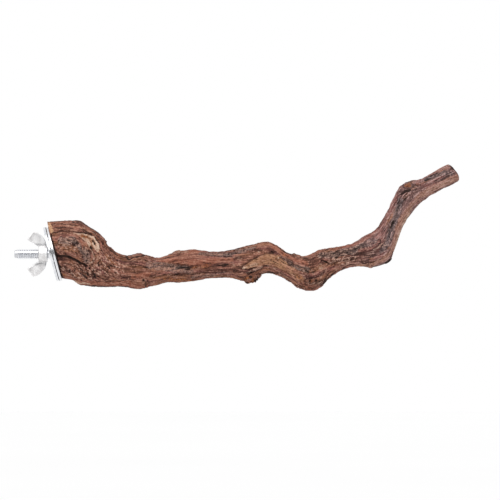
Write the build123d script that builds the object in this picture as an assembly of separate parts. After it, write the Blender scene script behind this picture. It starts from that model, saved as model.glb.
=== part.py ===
from build123d import *
import os
from math import atan2, cos, exp, floor, hypot, pi, radians, sin, tan

# A natural-wood bird perch: a gnarled length of vine with a hanger bolt screwed into its sawn
# end. Two fender washers and a wing nut on the bolt's stud clamp the bars of a cage wall.
#
# Millimetres. The origin is where the stud's axis crosses the clamping plane, between the two
# washers. +X runs along the stud into the branch, +Z is up, and -Y is the viewer's side.

# Hanger bolt: machine thread on the stud, plain shank, wood thread inside the branch
stud_diameter = 5.9
stud_reach = 21.4
thread_pitch = 1.0
thread_flank = 30.0
point_diameter = 4.4
point_length = 1.4
point_chamfer = 0.4
shank_stand = 2.0
shank_length = 7.0
wood_core_diameter = 4.0
wood_thread_diameter = 5.9
wood_thread_crest = 0.2
wood_pitch = 2.6
wood_thread_length = 24.0
wood_tip_length = 5.0

# Fender washers, which lie flat on the sawn end and so lean against the stud
washer_diameter = 31.0
washer_thickness = 1.5
washer_rim = 0.3
face_tilt = 14.4

# Wing nut
hub_wall = 1.8
hub_height = 5.0
hub_draft = 0.4
hub_edge = 0.5
wing_span = 25.3
wing_rise = 11.5
wing_width = 5.6
wing_lean = 35.5
wing_belly = 2.2
wing_thickness = 2.0
wing_corner = 0.6
wing_edge = 0.45
wing_border = 0.9
wing_dish = 0.3

# Clearances
seat_gap = 0.05
nut_gap = 0.1
hole_clearance = 0.25
thread_clearance = 0.06
pilot_clearance = 0.05

# Branch, with a little to spare past both sawn ends: each station is the upper and the lower
# edge (x, z) of the branch in the side view, the half depth from front to back, and how far its
# middle is set back.
stations = [
    ((-10.0, 17.4), (-1.0, -13.2), 14.0, 0.0),
    ((-3.0, 17.9), (5.0, -13.6), 14.5, 0.0),
    ((6.0, 18.5), (11.0, -14.4), 15.0, 0.0),
    ((14.5, 18.7), (15.0, -16.8), 14.5, 0.3),
    ((20.5, 15.3), (19.0, -17.7), 13.5, 0.6),
    ((26.0, 11.6), (23.5, -18.3), 12.0, 0.9),
    ((29.9, 6.9), (28.5, -18.5), 10.8, 1.2),
    ((34.5, 1.9), (33.5, -18.4), 9.8, 1.4),
    ((41.0, -0.5), (40.0, -18.4), 9.2, 1.6),
    ((49.5, -0.1), (48.5, -19.1), 9.3, 1.8),
    ((57.5, -1.9), (57.0, -17.5), 8.6, 2.0),
    ((64.5, -0.7), (64.0, -15.8), 8.0, 2.2),
    ((71.5, 1.6), (71.0, -15.8), 8.2, 2.3),
    ((78.5, 2.5), (78.0, -15.4), 8.3, 2.2),
    ((88.0, 1.4), (88.0, -13.5), 7.6, 1.8),
    ((98.0, 2.0), (98.0, -12.8), 7.8, 1.0),
    ((107.0, 4.1), (106.5, -14.4), 8.6, 0.0),
    ((114.5, 5.9), (113.0, -13.5), 8.8, -0.9),
    ((120.5, 6.6), (118.5, -10.9), 8.4, -1.6),
    ((126.5, 4.2), (123.0, -10.8), 8.0, -2.2),
    ((131.5, 1.1), (127.5, -12.3), 7.9, -2.7),
    ((136.5, -0.5), (132.5, -15.4), 8.3, -3.0),
    ((141.0, -1.0), (138.0, -19.2), 8.9, -3.1),
    ((145.5, 0.3), (144.5, -20.6), 9.2, -3.0),
    ((149.5, 2.3), (150.5, -18.0), 8.8, -2.6),
    ((154.0, 3.2), (156.0, -12.6), 7.8, -2.0),
    ((160.5, 4.4), (162.5, -9.0), 7.0, -1.2),
    ((168.0, 6.2), (170.5, -6.8), 7.0, -0.4),
    ((175.0, 10.2), (179.0, -7.1), 7.6, 0.4),
    ((180.7, 13.6), (187.6, -4.7), 7.8, 1.0),
    ((184.9, 19.4), (190.9, 1.4), 7.0, 1.5),
    ((188.2, 25.8), (194.5, 11.6), 6.3, 2.0),
    ((191.9, 32.8), (198.4, 19.2), 6.2, 2.4),
    ((196.2, 38.1), (202.6, 24.7), 6.3, 2.6),
    ((201.0, 40.5), (206.6, 29.0), 5.8, 2.7),
    ((207.0, 42.2), (211.0, 32.8), 5.3, 2.7),
    ((213.0, 45.5), (217.6, 36.0), 5.1, 2.6),
    ((219.0, 48.9), (223.7, 39.1), 5.0, 2.5),
    ((228.0, 53.8), (232.8, 43.7), 5.0, 2.4),
]
section_points = 18
sections_per_gap = 2
rib_height = 0.4
rib_count = 3
rib_twist = 14.0

# Sawn tip: how much of the vine is sawn off behind its last station, measured along it, how far
# the cut leans back from square in the side view, and how far it turns away from the viewer
tip_trim = 7.2
tip_lean = 6.0
tip_turn = 23.0

# Swellings of the wood, and hollows, whose height is below 0: place along X, direction round the
# branch in degrees (0 faces the viewer, 90 is up), height, and reach along and around the branch.
swellings = [
    ("burl_dome", 13.0, 5.0, 3.2, 8.5, 9.0),
    ("burl_lid", 13.0, 59.0, 0.8, 17.0, 3.6),
    ("burl_lip", 24.0, 40.0, 1.6, 5.0, 6.0),
    ("torn_scar", 21.5, 32.0, -0.9, 5.5, 4.0),
    ("burl_fold", 10.0, -17.0, -1.1, 9.0, 3.4),
    ("lower_root", 14.0, -50.0, 1.5, 12.0, 5.0),
    ("first_knot", 49.0, -55.0, 1.2, 5.0, 5.0),
    ("twig_base", 110.0, -72.0, 1.3, 3.5, 4.0),
    ("elbow_knot", 182.0, -35.0, 1.0, 4.0, 4.5),
    ("crook_knot", 198.0, 60.0, 1.1, 3.0, 3.5),
]

# Broken twig under the first bend: it points down, leans towards the viewer and sweeps to the tip
twig_place = (111.2, -2.4, -11.9)
twig_length = 6.0
twig_root_diameter = 10.8
twig_end_diameter = 8.4
twig_lean = 24.0
twig_sweep = 10.0

# Sizes that follow from the ones above
stud_radius = stud_diameter / 2
point_radius = point_diameter / 2
thread_depth = 0.55 * thread_pitch
thread_crest = 0.15 * thread_pitch
thread_sink = 0.05 * thread_pitch
thread_root = stud_radius - thread_depth
shank_radius = stud_radius - thread_depth / 2
wood_core_radius = wood_core_diameter / 2
tilt = radians(face_tilt)
hub_radius = stud_radius + hub_wall
washer_hole = stud_diameter / cos(tilt) + washer_thickness * tan(tilt) + 2 * hole_clearance
flank = radians(thread_flank)

# The clamping plane's outward direction, and the stud's own frame: Z from its free end inwards
face_out = Vector(-cos(tilt), 0, -sin(tilt))
stud_frame = Plane(origin=(-stud_reach, 0, 0), x_dir=(0, 0, 1), z_dir=(1, 0, 0))
washer_offset = seat_gap / 2 + washer_thickness / 2
sawn_offset = seat_gap / 2 + washer_thickness + seat_gap

# Places along the stud, measured from its free end
clamp_at = stud_reach
machine_from = point_length + thread_pitch / 2
shank_from = clamp_at - shank_stand
wood_from = shank_from + shank_length
wood_to = wood_from + wood_thread_length
sawn_at = clamp_at + sawn_offset / cos(tilt)
outer_face_at = clamp_at - (seat_gap / 2 + washer_thickness) / cos(tilt)
nut_base_at = outer_face_at - hub_radius * tan(tilt) - nut_gap
nut_end_at = nut_base_at - hub_height


def round_bar(start, end, start_radius, end_radius=None):
    """A bar, or a taper, on the stud's axis between two distances from its free end."""
    end_radius = start_radius if end_radius is None else end_radius
    half = Polyline((0, start), (start_radius, start), (end_radius, end), (0, end), close=True)
    return revolve(Plane.XZ * make_face(half), Axis.Z)


def helix_ridge(start, length, pitch, root, crest, crest_width, grow=0.0):
    """The ridge of a thread wound on the stud's axis, sunk a little into its core."""
    low, high = root + grow - thread_sink, crest + grow
    half_crest = crest_width / 2 + grow * (1 / cos(flank) - tan(flank))
    half_root = half_crest + (high - low) * tan(flank)
    outline = Polyline(
        (low, start - half_root),
        (high, start - half_crest),
        (high, start + half_crest),
        (low, start + half_root),
        close=True,
    )
    path = Pos(0, 0, start) * Helix(pitch=pitch, height=length, radius=root)
    return sweep(Plane.XZ * make_face(outline), path=path, is_frenet=True)


def hanger_bolt():
    """Stud with a machine thread and a plain lead, plain shank, and a pointed wood screw."""
    bolt = round_bar(0, point_chamfer, point_radius - point_chamfer, point_radius)
    bolt += round_bar(point_chamfer, point_length, point_radius)
    bolt += round_bar(point_length, shank_from, thread_root)
    bolt += round_bar(shank_from, wood_from, shank_radius)
    bolt += round_bar(wood_from, wood_to - wood_tip_length, wood_core_radius)
    bolt += round_bar(wood_to - wood_tip_length, wood_to, wood_core_radius, wood_thread_crest)
    machine_length = shank_from - thread_pitch / 2 - machine_from
    bolt += helix_ridge(
        machine_from, machine_length, thread_pitch, thread_root, stud_radius, thread_crest
    )
    wood_start = wood_from + wood_pitch / 2
    wood_length = wood_to - wood_tip_length - wood_start
    bolt += helix_ridge(
        wood_start,
        wood_length,
        wood_pitch,
        wood_core_radius,
        wood_thread_diameter / 2,
        wood_thread_crest,
    )
    return stud_frame * bolt


def washer(side):
    """A fender washer centred on the stud: side 1 lies outside the clamping plane, -1 inside."""
    blank = Circle(washer_diameter / 2) - Circle(washer_hole / 2)
    disc = extrude(blank, washer_thickness / 2, both=True)
    disc = fillet(disc.edges().filter_by(GeomType.CIRCLE), washer_rim)
    centre = (-side * washer_offset / cos(tilt), 0, 0)
    return Plane(origin=centre, x_dir=(0, 1, 0), z_dir=face_out) * disc


def wing():
    """One wing as a dished plate, in the stud's frame: X is up and Z runs towards the branch."""
    lean = radians(wing_lean)
    half_span = wing_span / 2
    foot = hub_radius - hub_wall / 2
    outer_foot = (foot, nut_base_at - hub_edge)
    outer_tip = (half_span, nut_base_at - wing_rise + wing_width * sin(lean))
    inner_tip = (half_span - wing_width * cos(lean), nut_base_at - wing_rise)
    inner_foot = (foot, nut_end_at + hub_edge)
    belly = SagittaArc(outer_foot, outer_tip, wing_belly)
    rest = Polyline(outer_tip, inner_tip, inner_foot, outer_foot)
    face = make_face([belly, rest])
    tips = face.vertices().sort_by(Axis.X)[-2:]
    face = fillet(tips, wing_corner)
    plate = extrude(Plane.XZ * face, wing_thickness / 2, both=True)
    sides = plate.faces().filter_by(Axis.Y)
    plate = fillet([e for s in sides for e in s.edges()], wing_edge)
    hollow = Plane.XZ * offset(face, -wing_border)
    for way in (1, -1):
        floor_at = Pos(0, way * (wing_thickness / 2 - wing_dish), 0)
        plate -= floor_at * extrude(hollow, -way * wing_dish * 2)
    return plate


def tap():
    """The nut's threaded bore as a solid: the stud's thread, a clearance larger all over."""
    turns = floor((nut_end_at - machine_from) / thread_pitch) - 1
    tap_from = machine_from + turns * thread_pitch
    tap_length = hub_height + 4 * thread_pitch
    bore = thread_root + thread_clearance
    core = round_bar(tap_from - thread_pitch, tap_from + tap_length + thread_pitch, bore)
    ridge = helix_ridge(
        tap_from,
        tap_length,
        thread_pitch,
        thread_root,
        stud_radius,
        thread_crest,
        grow=thread_clearance,
    )
    return core + ridge


def wing_nut():
    """Tapered hub with two wings, threaded to match the stud at rest."""
    hub = round_bar(nut_end_at, nut_base_at, hub_radius - hub_draft, hub_radius)
    hub = fillet(hub.edges().filter_by(GeomType.CIRCLE), hub_edge)
    blade = wing()
    nut = hub + blade + Rot(0, 0, 180) * blade
    return stud_frame * (nut - tap())


def swelling_at(x, angle, radius):
    """How far the swellings lift the wood at this place and angle, where it has this radius."""
    lift = 0.0
    for _, place, direction, height, along, around in swellings:
        turn = (angle - radians(direction) + pi) % (2 * pi) - pi
        lift += height * exp(-(((x - place) / along) ** 2) - ((turn * radius / around) ** 2))
    return lift


def station_at(place):
    """The station at a fractional row of the table, by a Catmull-Rom curve through the rows."""
    first = min(int(place), len(stations) - 2)
    rows = [stations[min(max(first + step, 0), len(stations) - 1)] for step in (-1, 0, 1, 2)]
    t = place - first
    mixed = []
    for a, b, c, d in zip(*[(*upper, *lower, depth, back) for upper, lower, depth, back in rows]):
        bend = (2 * a - 5 * b + 4 * c - d) * t**2 + (3 * b - a - 3 * c + d) * t**3
        mixed.append((2 * b + (c - a) * t + bend) / 2)
    return (mixed[0], mixed[1]), (mixed[2], mixed[3]), mixed[4], mixed[5]


def branch_section(upper, lower, half_depth, set_back):
    """One closed section of the branch: an oval with slow twisting ribs and its swellings."""
    middle_x, middle_z = (upper[0] + lower[0]) / 2, (upper[1] + lower[1]) / 2
    half_height = hypot(upper[0] - lower[0], upper[1] - lower[1]) / 2
    up_x = (upper[0] - lower[0]) / 2 / half_height
    up_z = (upper[1] - lower[1]) / 2 / half_height
    points = []
    for i in range(section_points):
        angle = 2 * pi * i / section_points
        side, rise = cos(angle), sin(angle)
        rib = rib_height * side * side * sin(rib_count * angle + middle_x / rib_twist)
        lift = swelling_at(middle_x, angle, half_height)
        depth = (half_depth + rib + lift) * side
        height = (half_height + lift) * rise
        points.append((middle_x + up_x * height, set_back - depth, middle_z + up_z * height))
    steps = [i / section_points for i in range(section_points + 1)]
    return Face(Wire(Edge.make_spline(points, periodic=True, parameters=steps)))


def tip_plane():
    """The plane of the sawn tip, a little before the last station, turned away from the viewer."""
    middles = []
    for upper, lower, _, set_back in stations[-2:]:
        middles.append(Vector((upper[0] + lower[0]) / 2, set_back, (upper[1] + lower[1]) / 2))
    last = middles[1]
    along = (last - middles[0]).normalized()
    slope = atan2(along.Z, along.X) + radians(tip_lean)
    turn = radians(tip_turn)
    out = Vector(cos(slope) * cos(turn), sin(turn), sin(slope) * cos(turn))
    return Plane(origin=last - along * tip_trim, z_dir=out)


def branch():
    """The vine: a loft through its stations, sawn off at the leaning face and drilled."""
    last = (len(stations) - 1) * sections_per_gap
    wood = loft([branch_section(*station_at(i / sections_per_gap)) for i in range(last + 1)])
    stub = Cone(twig_root_diameter / 2, twig_end_diameter / 2, twig_length)
    lean, sweep = radians(twig_lean), radians(twig_sweep)
    stub_aim = Vector(sin(sweep), -sin(lean), -cos(lean))
    wood += Plane(origin=twig_place, z_dir=stub_aim) * stub
    sawn = Plane(origin=(sawn_at - stud_reach, 0, 0), x_dir=(0, 1, 0), z_dir=-face_out)
    wood = split(wood, bisect_by=sawn, keep=Keep.TOP)
    wood = split(wood, bisect_by=tip_plane(), keep=Keep.BOTTOM)
    mouth = round_bar(clamp_at, wood_from + pilot_clearance, shank_radius + pilot_clearance)
    pilot = round_bar(wood_from, wood_to, wood_core_radius + pilot_clearance)
    drill_point = round_bar(wood_to, wood_to + wood_core_radius, wood_core_radius, thread_sink)
    return wood - stud_frame * mouth - stud_frame * pilot - stud_frame * drill_point


def main():
    os.makedirs("parts", exist_ok=True)
    pieces = {
        "branch": branch(),
        "hanger_bolt": hanger_bolt(),
        "inner_washer": washer(-1),
        "outer_washer": washer(1),
        "wing_nut": wing_nut(),
    }
    for name, piece in pieces.items():
        export_step(piece, f"parts/{name}.step")
        box = piece.bounding_box()
        print(name, len(piece.solids()), "solid", piece.is_valid, round(piece.volume, 1), box.min, box.max)
    print("washer hole", round(washer_hole, 2), "nut base at x", round(nut_base_at - stud_reach, 2))


main()
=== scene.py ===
# %% [markdown]
# # A clamp-on bird perch
# A natural-wood perch is a gnarled length of vine with a hanger bolt screwed into its sawn end.
# Two fender washers and a wing nut on the bolt's stud clamp the bars of a cage.
#
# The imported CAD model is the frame: it already holds the bolt, the washers and the nut at their
# real sizes, so here they only get their finish. The vine's solid is smooth, so a bark-covered
# surface takes its place. Everything is in the CAD model's own axes: +X along the stud into the
# wood, +Z up, and -Y towards the viewer.

# %% Load the frame
from math import cos, pi, radians, sin, tan

import bpy
import numpy as np
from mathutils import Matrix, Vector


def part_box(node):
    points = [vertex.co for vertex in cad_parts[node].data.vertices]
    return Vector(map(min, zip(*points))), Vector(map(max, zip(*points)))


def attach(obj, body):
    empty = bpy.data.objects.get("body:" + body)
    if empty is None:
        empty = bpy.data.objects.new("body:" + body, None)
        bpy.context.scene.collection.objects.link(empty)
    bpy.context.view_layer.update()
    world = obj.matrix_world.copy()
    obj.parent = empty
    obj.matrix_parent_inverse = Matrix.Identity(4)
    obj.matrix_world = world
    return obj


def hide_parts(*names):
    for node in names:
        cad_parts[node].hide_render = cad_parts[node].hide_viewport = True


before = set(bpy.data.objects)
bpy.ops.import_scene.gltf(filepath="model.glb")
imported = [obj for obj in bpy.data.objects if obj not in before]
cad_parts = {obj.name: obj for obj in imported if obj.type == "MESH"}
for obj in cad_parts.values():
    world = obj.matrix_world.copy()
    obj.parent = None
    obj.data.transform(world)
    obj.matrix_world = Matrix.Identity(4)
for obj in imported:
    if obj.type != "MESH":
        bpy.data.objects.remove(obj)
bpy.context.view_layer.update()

mm = 0.001

# %% [markdown]
# ## Camera
# The picture is taken square on, from far away, so that the perch shows as in a drawing: a long
# lens makes front and back nearly the same size. The picture shows 280 mm across of the plane
# through the stud's axis, which fixes how far away the camera stands.

# %% Camera
picture_width = 280 * mm
picture_centre = (110.5 * mm, 2.25 * mm)
sensor_width = 36.0
lens_length = 650.0
camera_distance = picture_width * lens_length / sensor_width


def add_object(name, data):
    """A new object in the scene, at the origin, for this mesh, lamp or camera."""
    made = bpy.data.objects.new(name, data)
    bpy.context.scene.collection.objects.link(made)
    return made


camera_data = bpy.data.cameras.new("camera")
camera_data.lens = lens_length
camera_data.sensor_width = sensor_width
camera = add_object("camera", camera_data)
camera.location = (picture_centre[0], -camera_distance, picture_centre[1])
camera.rotation_euler = (pi / 2, 0, 0)
bpy.context.scene.camera = camera
bpy.context.scene.view_settings.view_transform = "Standard"
print(f"camera stands {camera_distance:.3f} m in front")

# %% [markdown]
# ## Shader arithmetic
# Blender's materials are graphs of nodes. Joining each node by hand makes a short sum into many
# lines, so a small class wraps a socket and lets Python's own operators add the Math nodes. A
# second class owns one graph and adds every other kind of node through a single method. Further
# on, g is the graph that is being built.

# %% A socket that takes part in sums
class Wire:
    """One output socket of a shader graph: +, - and * on it add Math nodes."""

    def __init__(self, graph, socket):
        self.graph = graph
        self.socket = socket

    def _math(self, operation, first, second):
        return self.graph.node("ShaderNodeMath", {"operation": operation}, {0: first, 1: second})

    def __add__(self, other):
        return self._math("ADD", self, other)

    def __radd__(self, other):
        return self._math("ADD", other, self)

    def __sub__(self, other):
        return self._math("SUBTRACT", self, other)

    def __rsub__(self, other):
        return self._math("SUBTRACT", other, self)

    def __mul__(self, other):
        return self._math("MULTIPLY", self, other)

    def __rmul__(self, other):
        return self._math("MULTIPLY", other, self)


# %% A shader graph
class Graph:
    """One node tree, with a method for any node and a few for the ones used most."""

    def __init__(self, tree):
        self.tree = tree
        tree.nodes.clear()

    def node(self, kind, settings=None, sockets=None, output=0):
        """Add a node: its settings first, then the values or wires of its sockets."""
        made = self.tree.nodes.new(kind)
        for key, value in (settings or {}).items():
            setattr(made, key, value)
        for key, value in (sockets or {}).items():
            if isinstance(value, Wire):
                self.tree.links.new(value.socket, made.inputs[key])
            else:
                made.inputs[key].default_value = value
        return Wire(self, made.outputs[output]) if made.outputs else made

    def surface(self, shader):
        """Make this shader the one that the material shows."""
        self.node("ShaderNodeOutputMaterial", sockets={"Surface": shader})

    def millimetres(self):
        """The point's place on its object, in millimetres."""
        return self.stretch(self.node("ShaderNodeTexCoord", output="Object"), (1 / mm, 1 / mm, 1 / mm))

    def stretch(self, vector, scale):
        """A vector with each axis multiplied by its own number."""
        return self.node("ShaderNodeVectorMath", {"operation": "MULTIPLY"}, {0: vector, 1: scale})

    def noise(self, vector, scale, detail=4.0, roughness=0.6):
        """Cloudy noise from 0 to 1: scale says how many features fit in a unit of each axis."""
        stretched = self.stretch(vector, scale)
        sockets = {"Vector": stretched, "Scale": 1.0, "Detail": detail, "Roughness": roughness}
        return self.node("ShaderNodeTexNoise", {"noise_dimensions": "3D"}, sockets)

    def band(self, value, low, high):
        """A smooth step: 0 below low, 1 above high."""
        settings = {"interpolation_type": "SMOOTHSTEP", "clamp": True}
        return self.node("ShaderNodeMapRange", settings, {0: value, 1: low, 2: high, 3: 0.0, 4: 1.0})

    def blend(self, factor, under, over):
        """The colour under, covered by the colour over as far as factor says."""
        sockets = {0: factor, 6: under, 7: over}
        return self.node("ShaderNodeMix", {"data_type": "RGBA", "clamp_factor": True}, sockets, 2)

    def painted(self, name):
        """A number stored on the surface under this name."""
        return self.node("ShaderNodeAttribute", {"attribute_name": name}, output="Fac")


def new_finish(name):
    """A new material and its empty graph."""
    finish = bpy.data.materials.new(name)
    finish.use_nodes = True
    return finish, Graph(finish.node_tree)


def paint(red, green, blue):
    """A colour as a painter reads it on screen, 0 to 255, turned into linear light."""
    screen = np.array([red, green, blue]) / 255
    light = np.where(screen <= 0.04045, screen / 12.92, ((screen + 0.055) / 1.055) ** 2.4)
    return (*light.tolist(), 1.0)


# %% [markdown]
# ## Studio
# The perch hangs from its clamp, so the floor lies well below it. One broad soft lamp stands high
# in front, and the pale room fills the shadows. Both are set so that a colour comes out about as
# it is written. The background is white by itself, for the camera and in reflections, so it needs
# no more light on the perch. In reflections the room is dim straight in front, as a studio is
# behind the camera, which draws grey lines on bright metal. A camera-only glow lifts the floor to
# white and leaves the soft shadow visible on it.

# %% Room
room_fill = 0.56
room_front = 0.12

world = bpy.data.worlds.new("studio")
world.use_nodes = True
bpy.context.scene.world = world
room = Graph(world.node_tree)
light_path = room.node("ShaderNodeLightPath").socket.node
seen = Wire(room, light_path.outputs["Is Camera Ray"])
mirrored = Wire(room, light_path.outputs["Is Glossy Ray"])
through = Wire(room, light_path.outputs["Is Transmission Ray"])
towards = room.node("ShaderNodeTexCoord", output="Generated")
sideways = room.node("ShaderNodeSeparateXYZ", sockets={0: towards}, output="Y")
front_wall = room.band(sideways * -1.0, 0.86, 0.97)
fill, white, dim = (
    room.node("ShaderNodeBackground", sockets={"Color": (1, 1, 1, 1), "Strength": strength})
    for strength in (room_fill, 1.0, room_front)
)
in_metal = room.node("ShaderNodeMixShader", sockets={0: front_wall, 1: white, 2: dim})
unseen = room.node("ShaderNodeMixShader", sockets={0: mirrored, 1: fill, 2: in_metal})
whole_room = room.node("ShaderNodeMixShader", sockets={0: seen + through, 1: unseen, 2: white})
room.node("ShaderNodeOutputWorld", sockets={"Surface": whole_room})
print("room fill", room_fill)

# %% Lamp
lamp_strength = 1.45
lamp_spread = 50.0
lamp_turn = (44.0, 0.0, -16.0)

lamp_data = bpy.data.lights.new("soft_lamp", "SUN")
lamp_data.energy = lamp_strength
lamp_data.angle = radians(lamp_spread)
lamp = add_object("soft_lamp", lamp_data)
lamp.rotation_euler = [radians(turn) for turn in lamp_turn]
print("lamp strength", lamp_strength)

# %% Floor
floor_height = -160 * mm
floor_half = 4.0
floor_glow = 0.24

corners = np.array([[-1, -1], [1, -1], [1, 1], [-1, 1]]) * floor_half
floor_mesh = bpy.data.meshes.new("floor")
floor_mesh.from_pydata([(x, y, floor_height) for x, y in corners.tolist()], [], [(0, 1, 2, 3)])
floor = add_object("floor", floor_mesh)

floor_finish, g = new_finish("pale_floor")
floor_spot = g.node("ShaderNodeTexCoord", output="Object")
clouds = g.noise(floor_spot, (3.0, 3.0, 3.0), detail=2.0)
pale = g.blend(clouds, (0.83, 0.83, 0.83, 1), (0.86, 0.86, 0.86, 1))
matt = g.node("ShaderNodeBsdfDiffuse", sockets={"Color": pale})
camera_ray = g.node("ShaderNodeLightPath", output="Is Camera Ray")
mirror_ray = g.node("ShaderNodeLightPath", output="Is Glossy Ray")
glow = g.node("ShaderNodeEmission", sockets={"Strength": floor_glow})
lit = g.node("ShaderNodeAddShader", sockets={0: matt, 1: glow})
g.surface(g.node("ShaderNodeMixShader", sockets={0: camera_ray + mirror_ray, 1: matt, 2: lit}))
floor_mesh.materials.append(floor_finish)
print("floor at", floor_height)

# %% [markdown]
# ## The vine's line
# A vine grows in bends and swellings that no simple curve gives. It is described as a boat
# builder describes a hull: stations along its length, each with the upper and lower edge in the
# side view, the half depth from front to back, and how far its middle is set back. These are the
# stations of the CAD solid, in millimetres, so the bark lies where the solid does. A smooth curve
# through the rows fills in the rest.

# %% Stations
stations = np.array([
    (-10.0, 17.4, -1.0, -13.2, 14.0, 0.0),
    (-3.0, 17.9, 5.0, -13.6, 14.5, 0.0),
    (6.0, 18.5, 11.0, -14.4, 15.0, 0.0),
    (14.5, 18.7, 15.0, -16.8, 14.5, 0.3),
    (20.5, 15.3, 19.0, -17.7, 13.5, 0.6),
    (26.0, 11.6, 23.5, -18.3, 12.0, 0.9),
    (29.9, 6.9, 28.5, -18.5, 10.8, 1.2),
    (34.5, 1.9, 33.5, -18.4, 9.8, 1.4),
    (41.0, -0.5, 40.0, -18.4, 9.2, 1.6),
    (49.5, -0.1, 48.5, -19.1, 9.3, 1.8),
    (57.5, -1.9, 57.0, -17.5, 8.6, 2.0),
    (64.5, -0.7, 64.0, -15.8, 8.0, 2.2),
    (71.5, 1.6, 71.0, -15.8, 8.2, 2.3),
    (78.5, 2.5, 78.0, -15.4, 8.3, 2.2),
    (88.0, 1.4, 88.0, -13.5, 7.6, 1.8),
    (98.0, 2.0, 98.0, -12.8, 7.8, 1.0),
    (107.0, 4.1, 106.5, -14.4, 8.6, 0.0),
    (114.5, 5.9, 113.0, -13.5, 8.8, -0.9),
    (120.5, 6.6, 118.5, -10.9, 8.4, -1.6),
    (126.5, 4.2, 123.0, -10.8, 8.0, -2.2),
    (131.5, 1.1, 127.5, -12.3, 7.9, -2.7),
    (136.5, -0.5, 132.5, -15.4, 8.3, -3.0),
    (141.0, -1.0, 138.0, -19.2, 8.9, -3.1),
    (145.5, 0.3, 144.5, -20.6, 9.2, -3.0),
    (149.5, 2.3, 150.5, -18.0, 8.8, -2.6),
    (154.0, 3.2, 156.0, -12.6, 7.8, -2.0),
    (160.5, 4.4, 162.5, -9.0, 7.0, -1.2),
    (168.0, 6.2, 170.5, -6.8, 7.0, -0.4),
    (175.0, 10.2, 179.0, -7.1, 7.6, 0.4),
    (180.7, 13.6, 187.6, -4.7, 7.8, 1.0),
    (184.9, 19.4, 190.9, 1.4, 7.0, 1.5),
    (188.2, 25.8, 194.5, 11.6, 6.3, 2.0),
    (191.9, 32.8, 198.4, 19.2, 6.2, 2.4),
    (196.2, 38.1, 202.6, 24.7, 6.3, 2.6),
    (201.0, 40.5, 206.6, 29.0, 5.8, 2.7),
    (207.0, 42.2, 211.0, 32.8, 5.3, 2.7),
    (213.0, 45.5, 217.6, 36.0, 5.1, 2.6),
    (219.0, 48.9, 223.7, 39.1, 5.0, 2.5),
    (228.0, 53.8, 232.8, 43.7, 5.0, 2.4),
])
last_place = len(stations) - 1


def station_at(place):
    """Rows between the stations: a Catmull-Rom cubic, which passes through every row and leaves
    each one in the direction from the row before it to the row after it."""
    first = np.minimum(place.astype(int), last_place - 1)
    a, b, c, d = (stations[np.clip(first + step, 0, last_place)] for step in (-1, 0, 1, 2))
    t = (place - first)[..., None]
    bend = (2 * a - 5 * b + 4 * c - d) * t**2 + (3 * b - a - 3 * c + d) * t**3
    return (2 * b + (c - a) * t + bend) / 2


print(len(stations), "stations")

# %% [markdown]
# ## The vine's sections
# Across each station the vine is an oval. Three slow ribs twist along it, as in many climbing
# plants, a few swellings stand out where a burl, a root or a knot has grown, and the burl has two
# hollows, where its bark is torn and folded. Angle 0 faces the viewer and a quarter turn is up.

# %% Sections
rib_height = 0.4
rib_count = 3
rib_twist = 14.0
swellings = [
    ("burl_dome", 13.0, 5.0, 3.2, 8.5, 9.0),
    ("burl_lid", 13.0, 59.0, 0.8, 17.0, 3.6),
    ("burl_lip", 24.0, 40.0, 1.6, 5.0, 6.0),
    ("torn_scar", 21.5, 32.0, -0.9, 5.5, 4.0),
    ("burl_fold", 10.0, -17.0, -1.1, 9.0, 3.4),
    ("lower_root", 14.0, -50.0, 1.5, 12.0, 5.0),
    ("first_knot", 49.0, -55.0, 1.2, 5.0, 5.0),
    ("twig_base", 110.0, -72.0, 1.3, 3.5, 4.0),
    ("elbow_knot", 182.0, -35.0, 1.0, 4.0, 4.5),
    ("crook_knot", 198.0, 60.0, 1.1, 3.0, 3.5),
]


def vine_middle(place):
    """The middle of the vine: halfway between the upper and the lower edge."""
    row = station_at(place)
    middle_x = (row[..., 0] + row[..., 2]) / 2
    middle_z = (row[..., 1] + row[..., 3]) / 2
    return np.stack([middle_x, row[..., 5], middle_z], axis=-1)


def vine_surface(place, angle):
    """The smooth vine: an oval of half_depth by half_height, plus ribs that go as the sine of
    three times the angle and twist along X, plus swellings that fall off as a bell curve."""
    upper_x, upper_z, lower_x, lower_z, half_depth, set_back = np.moveaxis(station_at(place), -1, 0)
    middle_x, middle_z = (upper_x + lower_x) / 2, (upper_z + lower_z) / 2
    half_height = np.hypot(upper_x - lower_x, upper_z - lower_z) / 2
    up_x = (upper_x - lower_x) / 2 / half_height
    up_z = (upper_z - lower_z) / 2 / half_height
    side, rise = np.cos(angle), np.sin(angle)
    rib = rib_height * side**2 * np.sin(rib_count * angle + middle_x / rib_twist)
    lift = np.zeros_like(middle_x + angle)
    for _, where_x, direction, height, along, around in swellings:
        turn = (angle - radians(direction) + pi) % (2 * pi) - pi
        lift += height * np.exp(-(((middle_x - where_x) / along) ** 2) - (turn * half_height / around) ** 2)
    depth = (half_depth + rib + lift) * side
    height = (half_height + lift) * rise
    return np.stack([middle_x + up_x * height, set_back - depth, middle_z + up_z * height], axis=-1)


# %% [markdown]
# ## The two saw cuts
# Both ends are sawn. The bolt's end is cut on the lean of the washers, and the tip is cut square
# and turned a little away from the viewer. For every line along the vine, halving the interval
# again and again finds where it meets a cut, and the grid is then spaced between the two cuts.

# %% Saw cuts
face_tilt = radians(14.4)
face_in = np.array([cos(face_tilt), 0.0, sin(face_tilt)])
sawn_offset = 1.575
face_point = np.array([sawn_offset / cos(face_tilt), 0.0, 0.0])
tip_trim = 7.2
tip_lean = radians(6.0)
tip_turn = radians(23.0)
halvings = 40

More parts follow.
